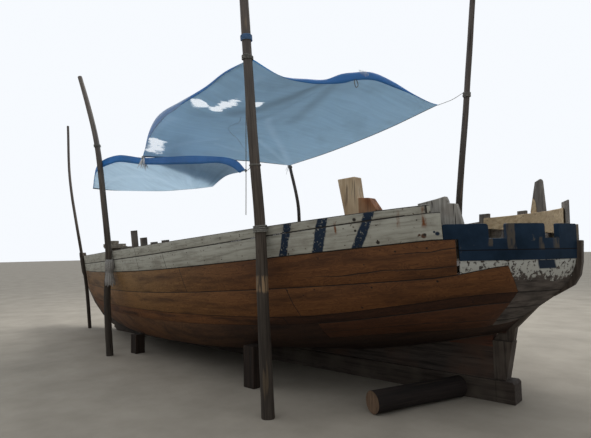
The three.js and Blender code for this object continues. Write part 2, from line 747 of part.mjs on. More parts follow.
// The new tapered plank inside the starboard quarter
const NEW_PLANK = { thickness: 30, low: [1545, 1660], high: [1790, 1785], clear: 1.3 };
function newPlank() {
  const [aft, fore] = [frameFaces(CANT_FRAMES[0])[0], 600];
  const places = [...CANT_FRAMES.flatMap(frameFaces), -10, 170, 550, fore].sort((a, b) => a - b);
  return loft(places.map((x) => {
    const part = (x - aft) / (fore - aft);
    const low = NEW_PLANK.low[0] + (NEW_PLANK.low[1] - NEW_PLANK.low[0]) * part;
    const high = NEW_PLANK.high[0] + (NEW_PLANK.high[1] - NEW_PLANK.high[0]) * part;
    const [lowY, highY] = [low, high].map((z) => NEW_PLANK.clear - framesInside(x, z));
    const inner = NEW_PLANK.thickness;
    return [vec(x, lowY, low), vec(x, highY, high), vec(x, highY + inner, high), vec(x, lowY + inner, low)];
  }));
}
addMesh('starboard_new_plank', newPlank(), COLORS.newPlank);

// A fresh post with a wedge at its aft side, standing on the aft deck
addMesh('fresh_post', uprightPlate([
  [885, AFT_DECK_TOP + FIT], [1080, AFT_DECK_TOP + FIT], [1050, 1752], [1120, 2085], [929, 2091], [903, 1896],
  [786, 1886], [708, 1774], [870, 1680],
], 1030, 1140), COLORS.freshWood);

// Old boards on end at the aft end of the white band, standing on the inner rail against the cant frames.
// Columns: x, lower and upper edge.
const END_BOARDS = [
  [62, 1440, 1480], [87, 1440, 1637], [122, 1440, 1800], [181, 1440, 1805],
  [183, 1440, 1826], [196, 1440, 1864], [270, 1440, 1840], [377, 1780, 1805],
];
const END_BOARD_THICKNESS = 60;
addMesh('end_boards', loft(END_BOARDS.map(([x, low, high]) => {
  const y = Math.min(framesInside(x, low), framesInside(x, high)) - FIT;
  const face = (z) => [vec(x, y, z + FIT), vec(x, y - END_BOARD_THICKNESS, z + FIT)];
  return [...face(low), ...face(high).reverse()];
})), COLORS.greyWood);

// Loose boards on a low trestle on the foredeck: legs as [x, y], boards as corners and [low, high]
const TRESTLE_TOP = 1576;
const TRESTLE_LEGS = [[6760, 10], [6760, 190], [7200, 10], [7200, 190]];
const TRESTLE_BOARDS = [
  [[[6720, -30], [6800, -30], [6800, 240], [6720, 240]], [1500, 1560]],
  [[[7160, -30], [7240, -30], [7240, 240], [7160, 240]], [1500, 1560]],
  [[[6680, -20], [7300, 30], [7290, 140], [6670, 90]], [1554, 1584]],
  [[[6700, 150], [7420, 110], [7430, 230], [6710, 270]], [1554, 1590]],
  [[[6980, 20], [7460, 150], [7440, 240], [6960, 110]], [1578, 1640]],
  [[[7180, 60], [7400, 110], [7380, 210], [7160, 160]], [1634, 1700]],
];
const LEG_HALF = 30;
const square = (x, y, half) => [
  [x - half, y - half], [x + half, y - half], [x + half, y + half], [x - half, y + half],
];
addMesh('bow_boards', join([
  ...TRESTLE_LEGS.map(([x, y]) => plate(square(x, y, LEG_HALF), FORE_DECK_TOP + FIT, TRESTLE_TOP)),
  ...TRESTLE_BOARDS.map(([outline, [low, high]]) => plate(outline, low, high)),
]), COLORS.greyWood);

// Poles: ten-sided rings along the pole, narrowing to the top, with a flat turned to the hull.
// The third point of a pole is where it leans on the white strake or on the stem.
const POLE_SIDES = 10;
function pole(points, foot, tip) {
  const curve = new THREE.CatmullRomCurve3(points.map((p) => vec(...p)));
  const steps = (points.length - 1) * 2;
  return loft(Array.from({ length: steps + 1 }, (_, k) => {
    const centre = curve.getPoint(k / steps);
    const radius = foot + (tip - foot) * (k / steps);
    return Array.from({ length: POLE_SIDES }, (_unused, i) => {
      const turn = (i / POLE_SIDES) * Math.PI * 2;
      return vec(centre.x + radius * Math.cos(turn), centre.y + radius * Math.sin(turn), centre.z);
    });
  }), (p) => new THREE.Vector2(p.x, p.y));
}

// Columns: name, points from the foot up, radius at foot and tip
const POLES = [
  ['near_pole', [[1490, 1720, 0], [1650, 1610, 1000], [1750, 1536.3, 1660], [1880, 1500, 2630],
    [2050, 1440, 4100], [2080, 1430, 4300]], 62, 46],
  ['port_fore_pole', [[5070, 1310, 0], [5110, 1335, 800], [5150, 1304, 1460], [5230, 1345, 2230],
    [5400, 1370, 3080], [5720, 1370, 3760], [6010, 1370, 4280]], 52, 36],
  ['bow_pole', [[7880, 280, 0], [7800, 390, 800], [7860, 460.4, 1400], [8440, 470, 3000],
    [8600, 460, 4150]], 36, 24],
  ['starboard_aft_pole', [[1130, -1640, 0], [1090, -1580, 900], [1050, -1418.3, 1700], [900, -1470, 3320],
    [740, -1450, 4750]], 52, 38],
  ['starboard_mid_pole', [[3600, -1700, 0], [3720, -1640, 800], [3860, -1491.3, 1520], [3960, -1545, 2250],
    [4180, -1580, 3000]], 38, 28],
];
for (const [name, points, foot, tip] of POLES) {
  addMesh(name, pole(points, foot, tip), COLORS.poleBark);
}

// Props under the bilges: posts that touch the planking with their inboard edge.
// Columns: name, x, y, half-width
const PROPS = [
  ['port_aft_prop', 2290, 1130, 78],
  ['port_fore_prop', 4920, 960, 72],
  ['starboard_aft_prop', 2290, -1130, 78],
  ['starboard_fore_prop', 4920, -960, 72],
];

// Underside of the planking at x and half-breadth y, read from the rows below the turn
function hullUnder(x, y) {
  const names = ['rabbet', 'bottomA', 'bottomB', 'bilge', 'bilgeA', 'darkLow', 'turn'];
  const line = names.map((name) => crossing(name, x, 'outer'));
  const k = line.findIndex((p) => p.y > y);
  const [a, b] = [line[k - 1], line[k]];
  return a.z + (b.z - a.z) * ((y - a.y) / (b.y - a.y));
}

const PROP_CLEAR = 0.8;
for (const [name, x, y, half] of PROPS) {
  const corners = square(x, y, half);
  const top = Math.min(...corners.map(([px, py]) => hullUnder(px, Math.abs(py)))) - PROP_CLEAR;
  addMesh(name, plate(corners, 0, top), COLORS.greyWood);
}

// Chock log at the port side of the keel
const LOG = { from: [840, 1090], to: [455, 141.2], radius: 108, sides: 10 };
function chockLog() {
  const [x0, y0] = LOG.from;
  const [x1, y1] = LOG.to;
  const along = vec(x1 - x0, y1 - y0, 0).normalize();
  const across = vec(-along.y, along.x, 0);
  const ring = ([x, y]) => Array.from({ length: LOG.sides }, (_, i) => {
    const turn = (i / LOG.sides) * Math.PI * 2;
    const flat = Math.cos(Math.PI / LOG.sides);
    return vec(x, y, LOG.radius * flat).addScaledVector(across, LOG.radius * Math.cos(turn))
      .add(vec(0, 0, LOG.radius * Math.sin(turn)));
  });
  return loft([ring(LOG.from), ring(LOG.to)], (p) => new THREE.Vector2(p.dot(across), p.z));
}
addMesh('chock_log', chockLog(), COLORS.greyWood);

// Tarpaulins: a sheet hung between four curved edges that meet at its corners, with a sag in its middle
const SHEET = 8;
function tarpaulin(edges, sag, columns, lines) {
  const curves = edges.map((points) => new THREE.CatmullRomCurve3(points.map((p) => vec(...p))));
  const [near, far, aft, fore] = curves.map((curve) => (part) => curve.getPoint(part));
  const surface = (lift) => Array.from({ length: lines + 1 }, (_, r) => (
    Array.from({ length: columns + 1 }, (_unused, c) => {
      const [s, t] = [c / columns, r / lines];
      const corners = near(0).lerp(near(1), s).lerp(far(0).lerp(far(1), s), t);
      const point = near(s).lerp(far(s), t).add(aft(t).lerp(fore(t), s)).sub(corners);
      point.z += lift - sag * Math.sin(Math.PI * t) * Math.sin(Math.PI * (0.1 + 0.8 * s));
      return point;
    })
  ));
  return slab(surface(SHEET), surface(0));
}

// The big tarpaulin is tied at the near pole, at the bow tarpaulin's knot and at the starboard poles.
// Its aft edge is propped up in the middle.
const MAIN_CORNERS = { nearAft: [1965, 1422.3, 3340], nearFore: [4300, 1250, 2748.6],
  farAft: [1276, -1420, 3395], farFore: [4145, -1548, 2965] };
addMesh('awning_main', tarpaulin([
  [MAIN_CORNERS.nearAft, [2300, 1402, 3412], [2700, 1368, 3405], [3123, 1337, 3352], [3718, 1293, 3270],
    [4118, 1263, 3088], MAIN_CORNERS.nearFore],
  [MAIN_CORNERS.farAft, [2138, -1472, 3219], [3209, -1512, 3057], MAIN_CORNERS.farFore],
  [MAIN_CORNERS.nearAft, [1852, 960, 3310], [1721, 421, 3420], [1629, 44, 3565], [1509, -448, 3620],
    [1402, -890, 3520], [1333, -1171, 3452], MAIN_CORNERS.farAft],
  [MAIN_CORNERS.nearFore, [4248, 341, 2854], [4198, -524, 2932], MAIN_CORNERS.farFore],
], 60, 16, 14), COLORS.tarpBlue);

// The bow tarpaulin hangs from the near pole past the knot to the port fore pole and droops over the bow
const BOW_NEAR = [
  [1835, 1459.3, 2260], [3100, 1330, 2500], [4300, 1250, 2740], [5350, 1335.4, 2900], [6700, 800, 2720],
];
const BOW_FAR = [
  [3900, 100, 2440], [4500, 0, 2470], [5300, -100, 2520], [6000, -150, 2570], [6900, 150, 2640],
];
addMesh('awning_bow', tarpaulin([
  BOW_NEAR, BOW_FAR, [BOW_NEAR[0], BOW_FAR[0]], [BOW_NEAR.at(-1), BOW_FAR.at(-1)],
], 60, 14, 8), COLORS.tarpPale);

export default model;
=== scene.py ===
# %% [markdown]
# # A wooden dhow under repair
# The boat stands on its keel: bare planks of several ages, frames that show
# above the rail, five shores around it and two tied tarpaulins.
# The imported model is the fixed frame. Everything made here is in metres in its
# axes: X runs forward along the keel, Y to port and Z up from the ground.

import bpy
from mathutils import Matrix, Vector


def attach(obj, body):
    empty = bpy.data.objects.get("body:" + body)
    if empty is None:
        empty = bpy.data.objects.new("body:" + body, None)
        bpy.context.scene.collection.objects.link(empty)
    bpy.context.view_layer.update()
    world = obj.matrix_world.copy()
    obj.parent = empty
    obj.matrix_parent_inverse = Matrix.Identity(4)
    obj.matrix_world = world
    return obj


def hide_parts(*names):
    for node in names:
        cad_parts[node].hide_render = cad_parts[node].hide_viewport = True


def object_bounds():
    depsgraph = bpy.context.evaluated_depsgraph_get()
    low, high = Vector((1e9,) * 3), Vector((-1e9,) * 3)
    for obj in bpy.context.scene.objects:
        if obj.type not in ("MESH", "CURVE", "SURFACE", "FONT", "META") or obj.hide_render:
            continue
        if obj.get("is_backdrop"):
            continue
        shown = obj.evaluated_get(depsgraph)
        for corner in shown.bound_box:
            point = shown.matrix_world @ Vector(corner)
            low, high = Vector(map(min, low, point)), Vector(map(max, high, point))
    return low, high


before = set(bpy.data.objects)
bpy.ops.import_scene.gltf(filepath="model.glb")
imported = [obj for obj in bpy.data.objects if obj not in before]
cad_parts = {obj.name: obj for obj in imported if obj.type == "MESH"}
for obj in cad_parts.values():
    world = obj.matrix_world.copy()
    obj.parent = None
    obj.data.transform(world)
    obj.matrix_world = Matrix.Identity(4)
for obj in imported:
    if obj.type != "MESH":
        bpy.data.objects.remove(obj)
cad_box = [list(corner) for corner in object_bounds()]
print("the model's box:", [[round(v, 3) for v in corner] for corner in cad_box])

# %% The other modules
import math

import bmesh
import bpy
from mathutils import Matrix, Vector, noise
from mathutils.bvhtree import BVHTree

SIDES = {"port": 1, "starboard": -1}

# %% [markdown]
# ## Where the picture was taken
# The eye stood 1.42 m above the ground off the port quarter, tipped up by four
# degrees. A camera's own -Z looks forward, so the direction is tracked with it
# and the small roll is then a turn about that same axis.

# %% The camera
PICTURE_WIDTH = 591
FOCAL_PIXELS = 476
EYE = Vector((-5.093, 4.692, 1.42))
HEADING = math.radians(-48.5)
TIPPED_UP = math.radians(3.97)
ROLLED = math.radians(-1.04)

lens = bpy.data.cameras.new("eye")
lens.sensor_width = 36
lens.lens = lens.sensor_width * FOCAL_PIXELS / PICTURE_WIDTH
eye = bpy.data.objects.new("eye", lens)
bpy.context.collection.objects.link(eye)
looking = Vector((
    math.cos(HEADING) * math.cos(TIPPED_UP),
    math.sin(HEADING) * math.cos(TIPPED_UP),
    math.sin(TIPPED_UP),
))
turned = looking.to_track_quat("-Z", "Y").to_matrix().to_4x4()
eye.matrix_world = Matrix.Translation(EYE) @ turned @ Matrix.Rotation(ROLLED, 4, "Z")
bpy.context.scene.camera = eye
print("lens", round(lens.lens, 2), "mm")

# %% [markdown]
# ## Light and ground
# The boat is seen against a white sky, so its near side lies in soft shade.
# The world is therefore white ahead of the eye and overhead, and fades behind
# the eye. One wide lamp over the far side brightens the tops, and a weak one
# on the near side keeps the shade from closing up.

# %% The sky
SKY_BRIGHT = Vector((math.cos(HEADING), math.sin(HEADING), 0.9))
# How bright the sky is behind the eye, and from which place on it is white
SKY_STOPS = ((0.0, 0.52), (0.42, 1.0))
world = bpy.data.worlds.new("pale sky")
world.use_nodes = True
sky_tree = world.node_tree
sky = sky_tree.nodes["Background"]
toward = sky_tree.nodes.new("ShaderNodeVectorMath")
toward.operation = "DOT_PRODUCT"
toward.inputs[1].default_value = SKY_BRIGHT.normalized()
sky_tree.links.new(sky_tree.nodes.new("ShaderNodeTexCoord").outputs["Generated"], toward.inputs[0])
fade = sky_tree.nodes.new("ShaderNodeValToRGB")
for stop, (place, grey) in zip(fade.color_ramp.elements, SKY_STOPS):
    stop.position = place
    stop.color = (0.93 * grey, 0.96 * grey, grey, 1)
sky_tree.links.new(toward.outputs["Value"], fade.inputs[0])
sky_tree.links.new(fade.outputs[0], sky.inputs["Color"])
sky.inputs["Strength"].default_value = 1.0
bpy.context.scene.world = world
bpy.context.scene.view_settings.view_transform = "Standard"


# %% The lamps
def soft_lamp(name, place, target, size, power):
    """A square area lamp at place that faces target."""
    lamp = bpy.data.lights.new(name, "AREA")
    lamp.size = size
    lamp.energy = power
    thing = bpy.data.objects.new(name, lamp)
    bpy.context.collection.objects.link(thing)
    facing = Vector(target) - Vector(place)
    thing.matrix_world = Matrix.Translation(place) @ facing.to_track_quat("-Z", "Y").to_matrix().to_4x4()


soft_lamp("sky lamp", (3.0, -6.0, 9.0), (0, 0, 1), 7, 800)
soft_lamp("shade lamp", (-7.0, 7.5, 4.0), (0, 0, 1), 5, 30)
print("lamps:", [lamp.name for lamp in bpy.data.lights])

# %% [markdown]
# ## Finishes
# A finish is a Principled shader with a few pattern nodes before it. A Signal
# is what one node gives out, and sums of signals become Math nodes, so the
# patterns below read as plain sums. `add` makes every other kind of node.


# %% Signals between nodes
class Signal:
    """What a node gives out. Adding, subtracting and multiplying it make Math nodes."""

    def __init__(self, socket):
        self.socket = socket

    def __add__(self, other):
        return sum_up("ADD", self, other)

    def __sub__(self, other):
        return sum_up("SUBTRACT", self, other)

    def __rsub__(self, other):
        return sum_up("SUBTRACT", other, self)

    def __mul__(self, other):
        return sum_up("MULTIPLY", self, other)


def add(kind, inputs, out=0, **settings):
    """A new node's signal. inputs maps a socket's name or number to a signal or to a value."""
    tree = next(value for value in inputs.values() if isinstance(value, Signal)).socket.id_data
    made = tree.nodes.new("ShaderNode" + kind)
    for key, value in settings.items():
        setattr(made, key, value)
    for key, value in inputs.items():
        if isinstance(value, Signal):
            tree.links.new(value.socket, made.inputs[key])
        else:
            made.inputs[key].default_value = value
    return Signal(made.outputs[out])


def sum_up(operation, first, second=0.0):
    return add("Math", {0: first, 1: second}, operation=operation)


def vector_sum(operation, first, second=(0.0, 0.0, 0.0), out=0):
    return add("VectorMath", {0: first, 1: second}, out, operation=operation)


def parts(vector):
    """The three numbers of a vector."""
    return [Signal(socket) for socket in add("SeparateXYZ", {0: vector}).socket.node.outputs]


def on_points(here, name):
    """The vector of that name on the points of the piece."""
    made = here.socket.id_data.nodes.new("ShaderNodeAttribute")
    made.attribute_name = name
    return Signal(made.outputs["Vector"])


# %% Patterns and colours
EVEN = (1.0, 1.0, 1.0)


def shade(colour, share):
    return tuple(share * part for part in colour)


def blend(share, first, second, how="MIX"):
    """first where share is 0 and second where it is 1. Plain colours have three numbers."""
    first, second = (c if isinstance(c, Signal) else (*c, 1) for c in (first, second))
    return add("Mix", {"Factor": share, 6: first, 7: second}, 2, data_type="RGBA", blend_type=how)


def ramp(value, *stops):
    """A colour ramp. Each stop is a place and a colour of three numbers or one grey."""
    made = add("ValToRGB", {0: value})
    points = made.socket.node.color_ramp.elements
    while len(points) < len(stops):
        points.new(0.5)
    for point, (place, colour) in zip(points, stops):
        point.position = place
        tint = (colour,) * 3 if isinstance(colour, (int, float)) else colour
        point.color = (*tint, 1)
    return made


def span(value, low, high, start=0.0, end=1.0, **settings):
    """From start, where the value is low, to end, where it is high, and held there beyond."""
    inputs = {"Value": value, "From Min": low, "From Max": high, "To Min": start, "To Max": end}
    return add("MapRange", inputs, **settings)


def speckle(where, stretch, scale=1.0, detail=4.0, rough=0.55):
    """Noise over where, stretched by three numbers: a small number makes a long streak."""
    placed = add("Mapping", {"Vector": where, "Scale": stretch})
    return add("TexNoise", {"Vector": placed, "Scale": scale, "Detail": detail, "Roughness": rough}, "Fac")


def cells(where, stretch):
    """The distance from the middles of scattered cells, for knots."""
    placed = add("Mapping", {"Vector": where, "Scale": stretch})
    return add("TexVoronoi", {"Vector": placed, "Scale": 1.0}, "Distance")


# %% Begin and end a finish
def new_finish(name, roughness, shine=0.3):
    """A material, its shader and the object coordinates."""
    material = bpy.data.materials.new(name)
    material.use_nodes = True
    shader = material.node_tree.nodes["Principled BSDF"]
    shader.inputs["Roughness"].default_value = roughness
    shader.inputs["Specular IOR Level"].default_value = shine
    here = material.node_tree.nodes.new("ShaderNodeTexCoord").outputs["Object"]
    return material, shader, Signal(here)


def coat(shader, colour, height=None, strength=0.5, depth=0.004):
    """Joins the colour to the shader, and the height as a bump."""
    links = shader.id_data.links
    links.new(colour.socket, shader.inputs["Base Color"])
    if height:
        bumped = add("Bump", {"Height": height, "Strength": strength, "Distance": depth})
        links.new(bumped.socket, shader.inputs["Normal"])


def mottled(name, roughness, pattern, low, high):
    """A plain finish of two tones in one even pattern: its scale, detail and roughness."""
    material, shader, here = new_finish(name, roughness)
    coat(shader, ramp(speckle(here, EVEN, *pattern), low, high))
    return material


# %% [markdown]
# ### Bare timber
# Sawn or hewn timber shows long fibres, short dark checks and blotches where
# water stood. A picture of wood would have to be unwrapped onto every piece
# and would repeat, so the fibres are noise squeezed across the grain. The
# stretch says which way the grain runs: along X for the keel, upright for
# posts, and across X for the frames, which curve round the hull.


# %% Timber by its grain
GRAIN = {
    "fore_and_aft": (1.2, 22.0, 22.0),
    "upright": (22.0, 22.0, 1.3),
    "athwart": (30.0, 2.2, 30.0),
    "frame": (34.0, 3.0, 3.0),
}
CHECK_COLOUR = (0.02, 0.015, 0.012)


def timber(name, grain, dark, light, blotch, roughness=0.85, checks=0.5, below=None):
    """Bare wood between a dark and a light colour, with blotches of a third.

    below gives other colours on one side of a place: (axis number, place, dark, light).
    """
    material, shader, here = new_finish(name, roughness)
    stretch = GRAIN[grain]
    fibres = speckle(here, stretch, 1.6, 6.0, 0.62)
    colour = ramp(fibres, (0.32, dark), (0.68, light))
    if below:
        axis, border, under_dark, under_light = below
        share = sum_up("LESS_THAN", parts(here)[axis], border)
        colour = blend(share, colour, ramp(fibres, (0.32, under_dark), (0.68, under_light)))
    colour = blend(ramp(speckle(here, EVEN, 2.3, 3.0), (0.45, 0.0), (0.68, 0.8)), colour, blotch)
    cracks = ramp(speckle(here, shade(stretch, 2.2), 1.0, 2.0, 0.4), (0.30, 1.0), (0.36, 0.0))
    coat(shader, blend(cracks * checks, colour, CHECK_COLOUR), fibres - cracks * 0.8, 0.6, 0.006)
    return material


GREY = ((0.10, 0.083, 0.064), (0.30, 0.265, 0.215), (0.16, 0.125, 0.09))
FRAME_GREY = ((0.070, 0.060, 0.052), (0.235, 0.210, 0.180), (0.12, 0.095, 0.075))
CHALKY = ((0.17, 0.16, 0.14), (0.44, 0.425, 0.385), (0.14, 0.105, 0.08))
DARK = ((0.018, 0.012, 0.009), (0.060, 0.046, 0.036), (0.085, 0.070, 0.055))
# The props stand in the shadow under the hull, so these near-black tones are painted shade, far darker than
# their wood.
SHADED_PROP_TONES = ((0.009, 0.0058, 0.0038), (0.034, 0.021, 0.0145), (0.022, 0.014, 0.009))
WORN_POST = ((0.024, 0.017, 0.013), (0.090, 0.070, 0.055), (0.12, 0.10, 0.08))
RED = ((0.034, 0.010, 0.005), (0.135, 0.042, 0.020), (0.075, 0.042, 0.028))
grey_keel = timber("grey_keel_wood", "fore_and_aft", *DARK)
dark_post = timber("dark_post_wood", "upright", *DARK)
grey_beam = timber("grey_beam_wood", "athwart", *GREY)
grey_frame = timber("grey_frame_wood", "frame", *FRAME_GREY)
chalky_boards = timber("chalky_board_wood", "upright", *CHALKY, checks=0.9)
# The props' finish carries painted shade: the wood is darkened for the shadow under the hull.
dark_prop = timber("dark_prop_wood", "upright", *SHADED_PROP_TONES)
worn_post = timber("worn_post_wood", "upright", *WORN_POST)
red_boards = timber(
    "red_deadwood", "fore_and_aft", *RED, below=(2, 0.50, (0.016, 0.012, 0.010), (0.075, 0.060, 0.050)),
)
print("timbers:", [m.name for m in (grey_keel, dark_post, grey_beam, grey_frame)])

# %% [markdown]
# ### Planking
# Grain by object coordinates alone would run straight through a bent plank.
# So each strake carries its own measure: a vector on its points with the
# distance along the plank and the distances from its lower and upper rims. The
# grain then follows the plank round the hull, and the caulked rims show as dark
# lines. Butts are the joints where one board of a strake ends and the next
# begins, so a board's tone changes there too.


# %% Masks from the measure
def fine_line(value, centre, half):
    """1 within half of centre and 0 outside, with a soft border."""
    return span(sum_up("ABSOLUTE", value - centre), half * 0.6, half * 1.4, 1.0, 0.0)


def either(*masks):
    """The strongest of several masks."""
    whole = masks[0]
    for mask in masks[1:]:
        whole = sum_up("MAXIMUM", whole, mask)
    return whole


def between(value, low, high, soft=0.004):
    """1 from low to high and 0 outside, with borders of a set softness."""
    return span(value, low - soft, low + soft) * span(value, high - soft, high + soft, 1.0, 0.0)


def about(value, middle, half, soft=0.004):
    return between(value, middle - half, middle + half, soft)


def spots(here, places):
    """A mask of round spots, each (x, z, radius), on whatever stands at that x and z."""
    flat = vector_sum("MULTIPLY", here, (1.0, 0.0, 1.0))
    masks = []
    for x, z, radius in places:
        away = vector_sum("DISTANCE", flat, (x, 0.0, z), "Value")
        masks.append(span(away, radius * 0.7, radius * 1.2, 1.0, 0.0))
    return either(*masks)


def rims_and_butts(here, butts, rim=0.0026):
    """A mask of the caulked rims and of the butts, the place, the measure and the height on the plank.

    A butt is (x, lean): its place and how it leans with height.
    """
    measure = on_points(here, "plank")
    low, high = parts(measure)[1:]
    edge = sum_up("MINIMUM", low, high) - speckle(measure, (9.0, 9.0, 9.0), 3.0) * 0.006
    place = parts(here)
    butt_lines = [fine_line(place[0] - low * lean, x, 0.004) for x, lean in butts]
    return either(span(edge, rim - 0.002, rim + 0.002, 1.0, 0.0), *butt_lines), place, measure, low


# %% [markdown]
# ### Weathered paint
# The white topsides are chalky, dirty along the seams and chipped down to the
# wood, with three leaning navy stripes and rust under the iron bolts. Stripes
# cut as thin sheets would lie on the planks like tape. As masks in the finish
# they wear and chip with the coat, and they follow the height to lean aft.


# %% Chalky white paint
# Each stripe's middle at STRIPE_HEIGHT, its lean and its half-width
STRIPES = [(-2.078, -0.28, 0.043), (-2.439, -0.26, 0.052), (-2.818, -0.42, 0.043)]
STRIPE_HEIGHT = 1.55
STRIPE_ENDS = (1.20, 1.80)
# Each run's place, top, length and half-width
RUST_RUNS = [(-2.592, 1.672, 0.10, 0.010), (-3.128, 1.74, 0.13, 0.012), (-3.306, 1.765, 0.16, 0.014)]
WHITE_HOLES = [
    (-2.771, 1.687, 0.016), (-2.771, 1.592, 0.011), (-2.951, 1.487, 0.016), (-3.309, 1.541, 0.012),
    (-2.796, 1.469, 0.008), (-2.1, 1.403, 0.010),
]
NAVY = (0.010, 0.022, 0.044)
NAVY_SPOTS = [(-3.397, 1.548, 0.017), (-3.376, 1.562, 0.009)]
RUST_SPOTS = [(-3.30, 1.532, 0.020), (-3.27, 1.54, 0.010)]


def white_paint(name, butts):
    """The white finish of one strake, with the stripes and the rust that cross it."""
    material, shader, here = new_finish(name, 0.8)
    lines, (x, _, z), measure, _ = rims_and_butts(here, butts)
    streaks = speckle(measure, (1.6, 14.0, 14.0), 2.0, 5.0, 0.6)
    clouds = speckle(here, (1.0, 1.0, 1.6), 4.0, 5.0, 0.65)
    colour = ramp(
        streaks, (0.28, (0.23, 0.22, 0.18)), (0.50, (0.40, 0.39, 0.33)), (0.75, (0.48, 0.475, 0.41)),
    )
    colour = blend(ramp(clouds, (0.50, 0.0), (0.72, 0.65)), colour, (0.20, 0.18, 0.145))
    worn = ramp(speckle(here, EVEN, 46.0, 2.0), (0.60, 1.0), (0.68, 0.25))
    for centre, lean, half in STRIPES:
        across = x + (clouds - 0.5) * 0.05 - (z - STRIPE_HEIGHT) * lean
        colour = blend(about(across, centre, half, 0.005) * between(z, *STRIPE_ENDS) * worn, colour, NAVY)
    patchy = ramp(speckle(here, (1.0, 1.0, 0.4), 30.0, 3.0), (0.40, 0.25), (0.60, 1.0))
    for centre, top, length, half in RUST_RUNS:
        thin = fine_line(x + (clouds - 0.5) * 0.07, centre, half)
        colour = blend(thin * between(z, top - length, top, 0.02) * patchy, colour, (0.17, 0.062, 0.022))
    chips = ramp(speckle(here, EVEN, 24.0, 4.0, 0.7), (0.64, 0.0), (0.68, 1.0))
    colour = blend(chips, colour, (0.15, 0.12, 0.09))
    colour = blend(spots(here, NAVY_SPOTS), colour, NAVY)
    colour = blend(spots(here, RUST_SPOTS), colour, (0.10, 0.05, 0.03))
    lines = either(lines, spots(here, WHITE_HOLES))
    coat(shader, blend(lines, colour, (0.035, 0.03, 0.026)), streaks - either(lines, chips) * 1.2)
    return material


# %% [markdown]
# ### New and old planks
# The new strakes are sawn hardwood between orange and brown. Their boards
# differ in tone, damp patches darken them, and knots, cracks and small holes
# mark them. Forward they turn paler, which is painted light where the bow
# stands brighter, and the lowest new strake is darker all over as painted
# shade. Old strakes are nearly black aft and turn brown forward; the black
# aft is partly painted shade. All of them differ only in colours and marks,
# so one function makes them.


# %% Bare planks
BOARD_TONE = (0.80, 0.76, 0.74)
SEAM_COLOUR = (0.014, 0.009, 0.006)


def bare_planks(name, dark, light, butts, knots=0.5, roughness=0.7, cracks=(), fore=None, holes=()):
    """A strake of bare boards.

    cracks are (height over the lower rim, first x, last x). fore gives the brighter colours of the boards
    forward, painted light on the new strakes and less painted shade than aft on the old ones: (last x of
    the aft colours, first x of the fore ones, dark, light). holes are (x, z, radius).
    """
    material, shader, here = new_finish(name, roughness)
    lines, (x, _, _), measure, low = rims_and_butts(here, butts, 0.0008)
    warp = speckle(measure, (1.5, 3.0, 3.0), 1.4, 2.0)
    waved = vector_sum("ADD", measure, warp)
    fibres = speckle(waved, (0.9, 30.0, 30.0), 1.5, 6.0, 0.66)
    colour = ramp(fibres, (0.30, dark), (0.72, light))
    # Brighter boards forward: painted light on the new strakes, while on the old ones the dark aft is partly
    # painted shade
    if fore:
        change, full, fore_dark, fore_light = fore
        colour = blend(span(x, change, full), colour, ramp(fibres, (0.30, fore_dark), (0.72, fore_light)))
    boards = [-5.0, *sorted(x for x, lean in butts), 5.0]
    for first, last in zip(boards[::2], boards[1::2]):
        inside = fine_line(x, (first + last) / 2, (last - first) / 2)
        colour = blend(inside, colour, blend(1.0, colour, BOARD_TONE, "MULTIPLY"))
    damp = ramp(speckle(measure, (1.0, 5.0, 5.0), 1.6, 4.0), (0.46, 0.0), (0.70, 0.75))
    colour = blend(damp, colour, shade(dark, 0.45))
    colour = blend(ramp(cells(waved, (2.4, 8.0, 8.0)), (0.04, knots), (0.13, 0.0)), colour, shade(dark, 0.35))
    for height, first, last in cracks:
        thin = fine_line(low + (warp - 0.5) * 0.06, height, 0.0035)
        lines = either(lines, thin * fine_line(x, (first + last) / 2, (last - first) / 2))
    if holes:
        lines = either(lines, spots(here, holes))
    coat(shader, blend(lines, colour, SEAM_COLOUR), fibres - lines)
    return material


# %% [markdown]
# ## Planks
# Every strake of the model is one smooth band. Drawn anew it could part from
# the frames, so a copy of it gets what shows on the real planks: eased rims
# that leave a V at each seam, smooth faces between the stations, and the
# measure that the finishes read. The copy is merged first, because the packed
# mesh is loose triangles.


# %% Copy a node as a mesh to work on
NEARLY_FLAT = math.radians(8)
NEARLY_SQUARE = math.radians(60)


def merged_copy(node):
    """The node's mesh with its doubles merged and its flat triangles joined to larger faces."""
    shape = bmesh.new()
    shape.from_mesh(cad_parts[node].data)
    bmesh.ops.remove_doubles(shape, verts=shape.verts, dist=1e-5)
    bmesh.ops.join_triangles(
        shape, faces=shape.faces, angle_face_threshold=NEARLY_FLAT, angle_shape_threshold=NEARLY_SQUARE,
    )
    shape.normal_update()
    return shape


def close_rings(shape, rings):
    """Joins rings of points with four-sided faces, and closes both ends."""
    for low, high in zip(rings, rings[1:]):
        for i in range(len(low)):
            j = (i + 1) % len(low)
            shape.faces.new((low[i], low[j], high[j], high[i]))
    shape.faces.new(rings[0][::-1])
    shape.faces.new(rings[-1])
    bmesh.ops.recalc_face_normals(shape, faces=shape.faces)


def add_piece(name, shape, finishes, slot=None, smooth_angle=35):
    """Links a finished bmesh as a piece of the boat."""
    mesh = bpy.data.meshes.new(name)
    shape.to_mesh(mesh)
    shape.free()
    piece = bpy.data.objects.new(name, mesh)
    bpy.context.collection.objects.link(piece)
    for finish in finishes:
        mesh.materials.append(finish)
    for face in mesh.polygons:
        face.use_smooth = True
    mesh.set_sharp_from_angle(angle=math.radians(smooth_angle))
    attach(piece, "root")
    return piece


# %% Read a strake's rims
RIM_SLOPE = 0.42
RIM_TURN = math.radians(50)
RIM_STEP = 0.02
HULL_HEART = Vector((-3.2, 0.0, 1.2))


def faces_out(face):
    """How far a face of the planking looks away from the middle of the hull, from -1 to 1."""
    centre = face.calc_center_median()
    heart = Vector((max(centre.x, HULL_HEART.x), 0.0, HULL_HEART.z))
    return face.normal.dot((centre - heart).normalized())


def breadth(face):
    """The face's area over its longest edge: large for a plank's skin, small for its rim."""
    return face.calc_area() / max(edge.calc_length() for edge in face.edges)


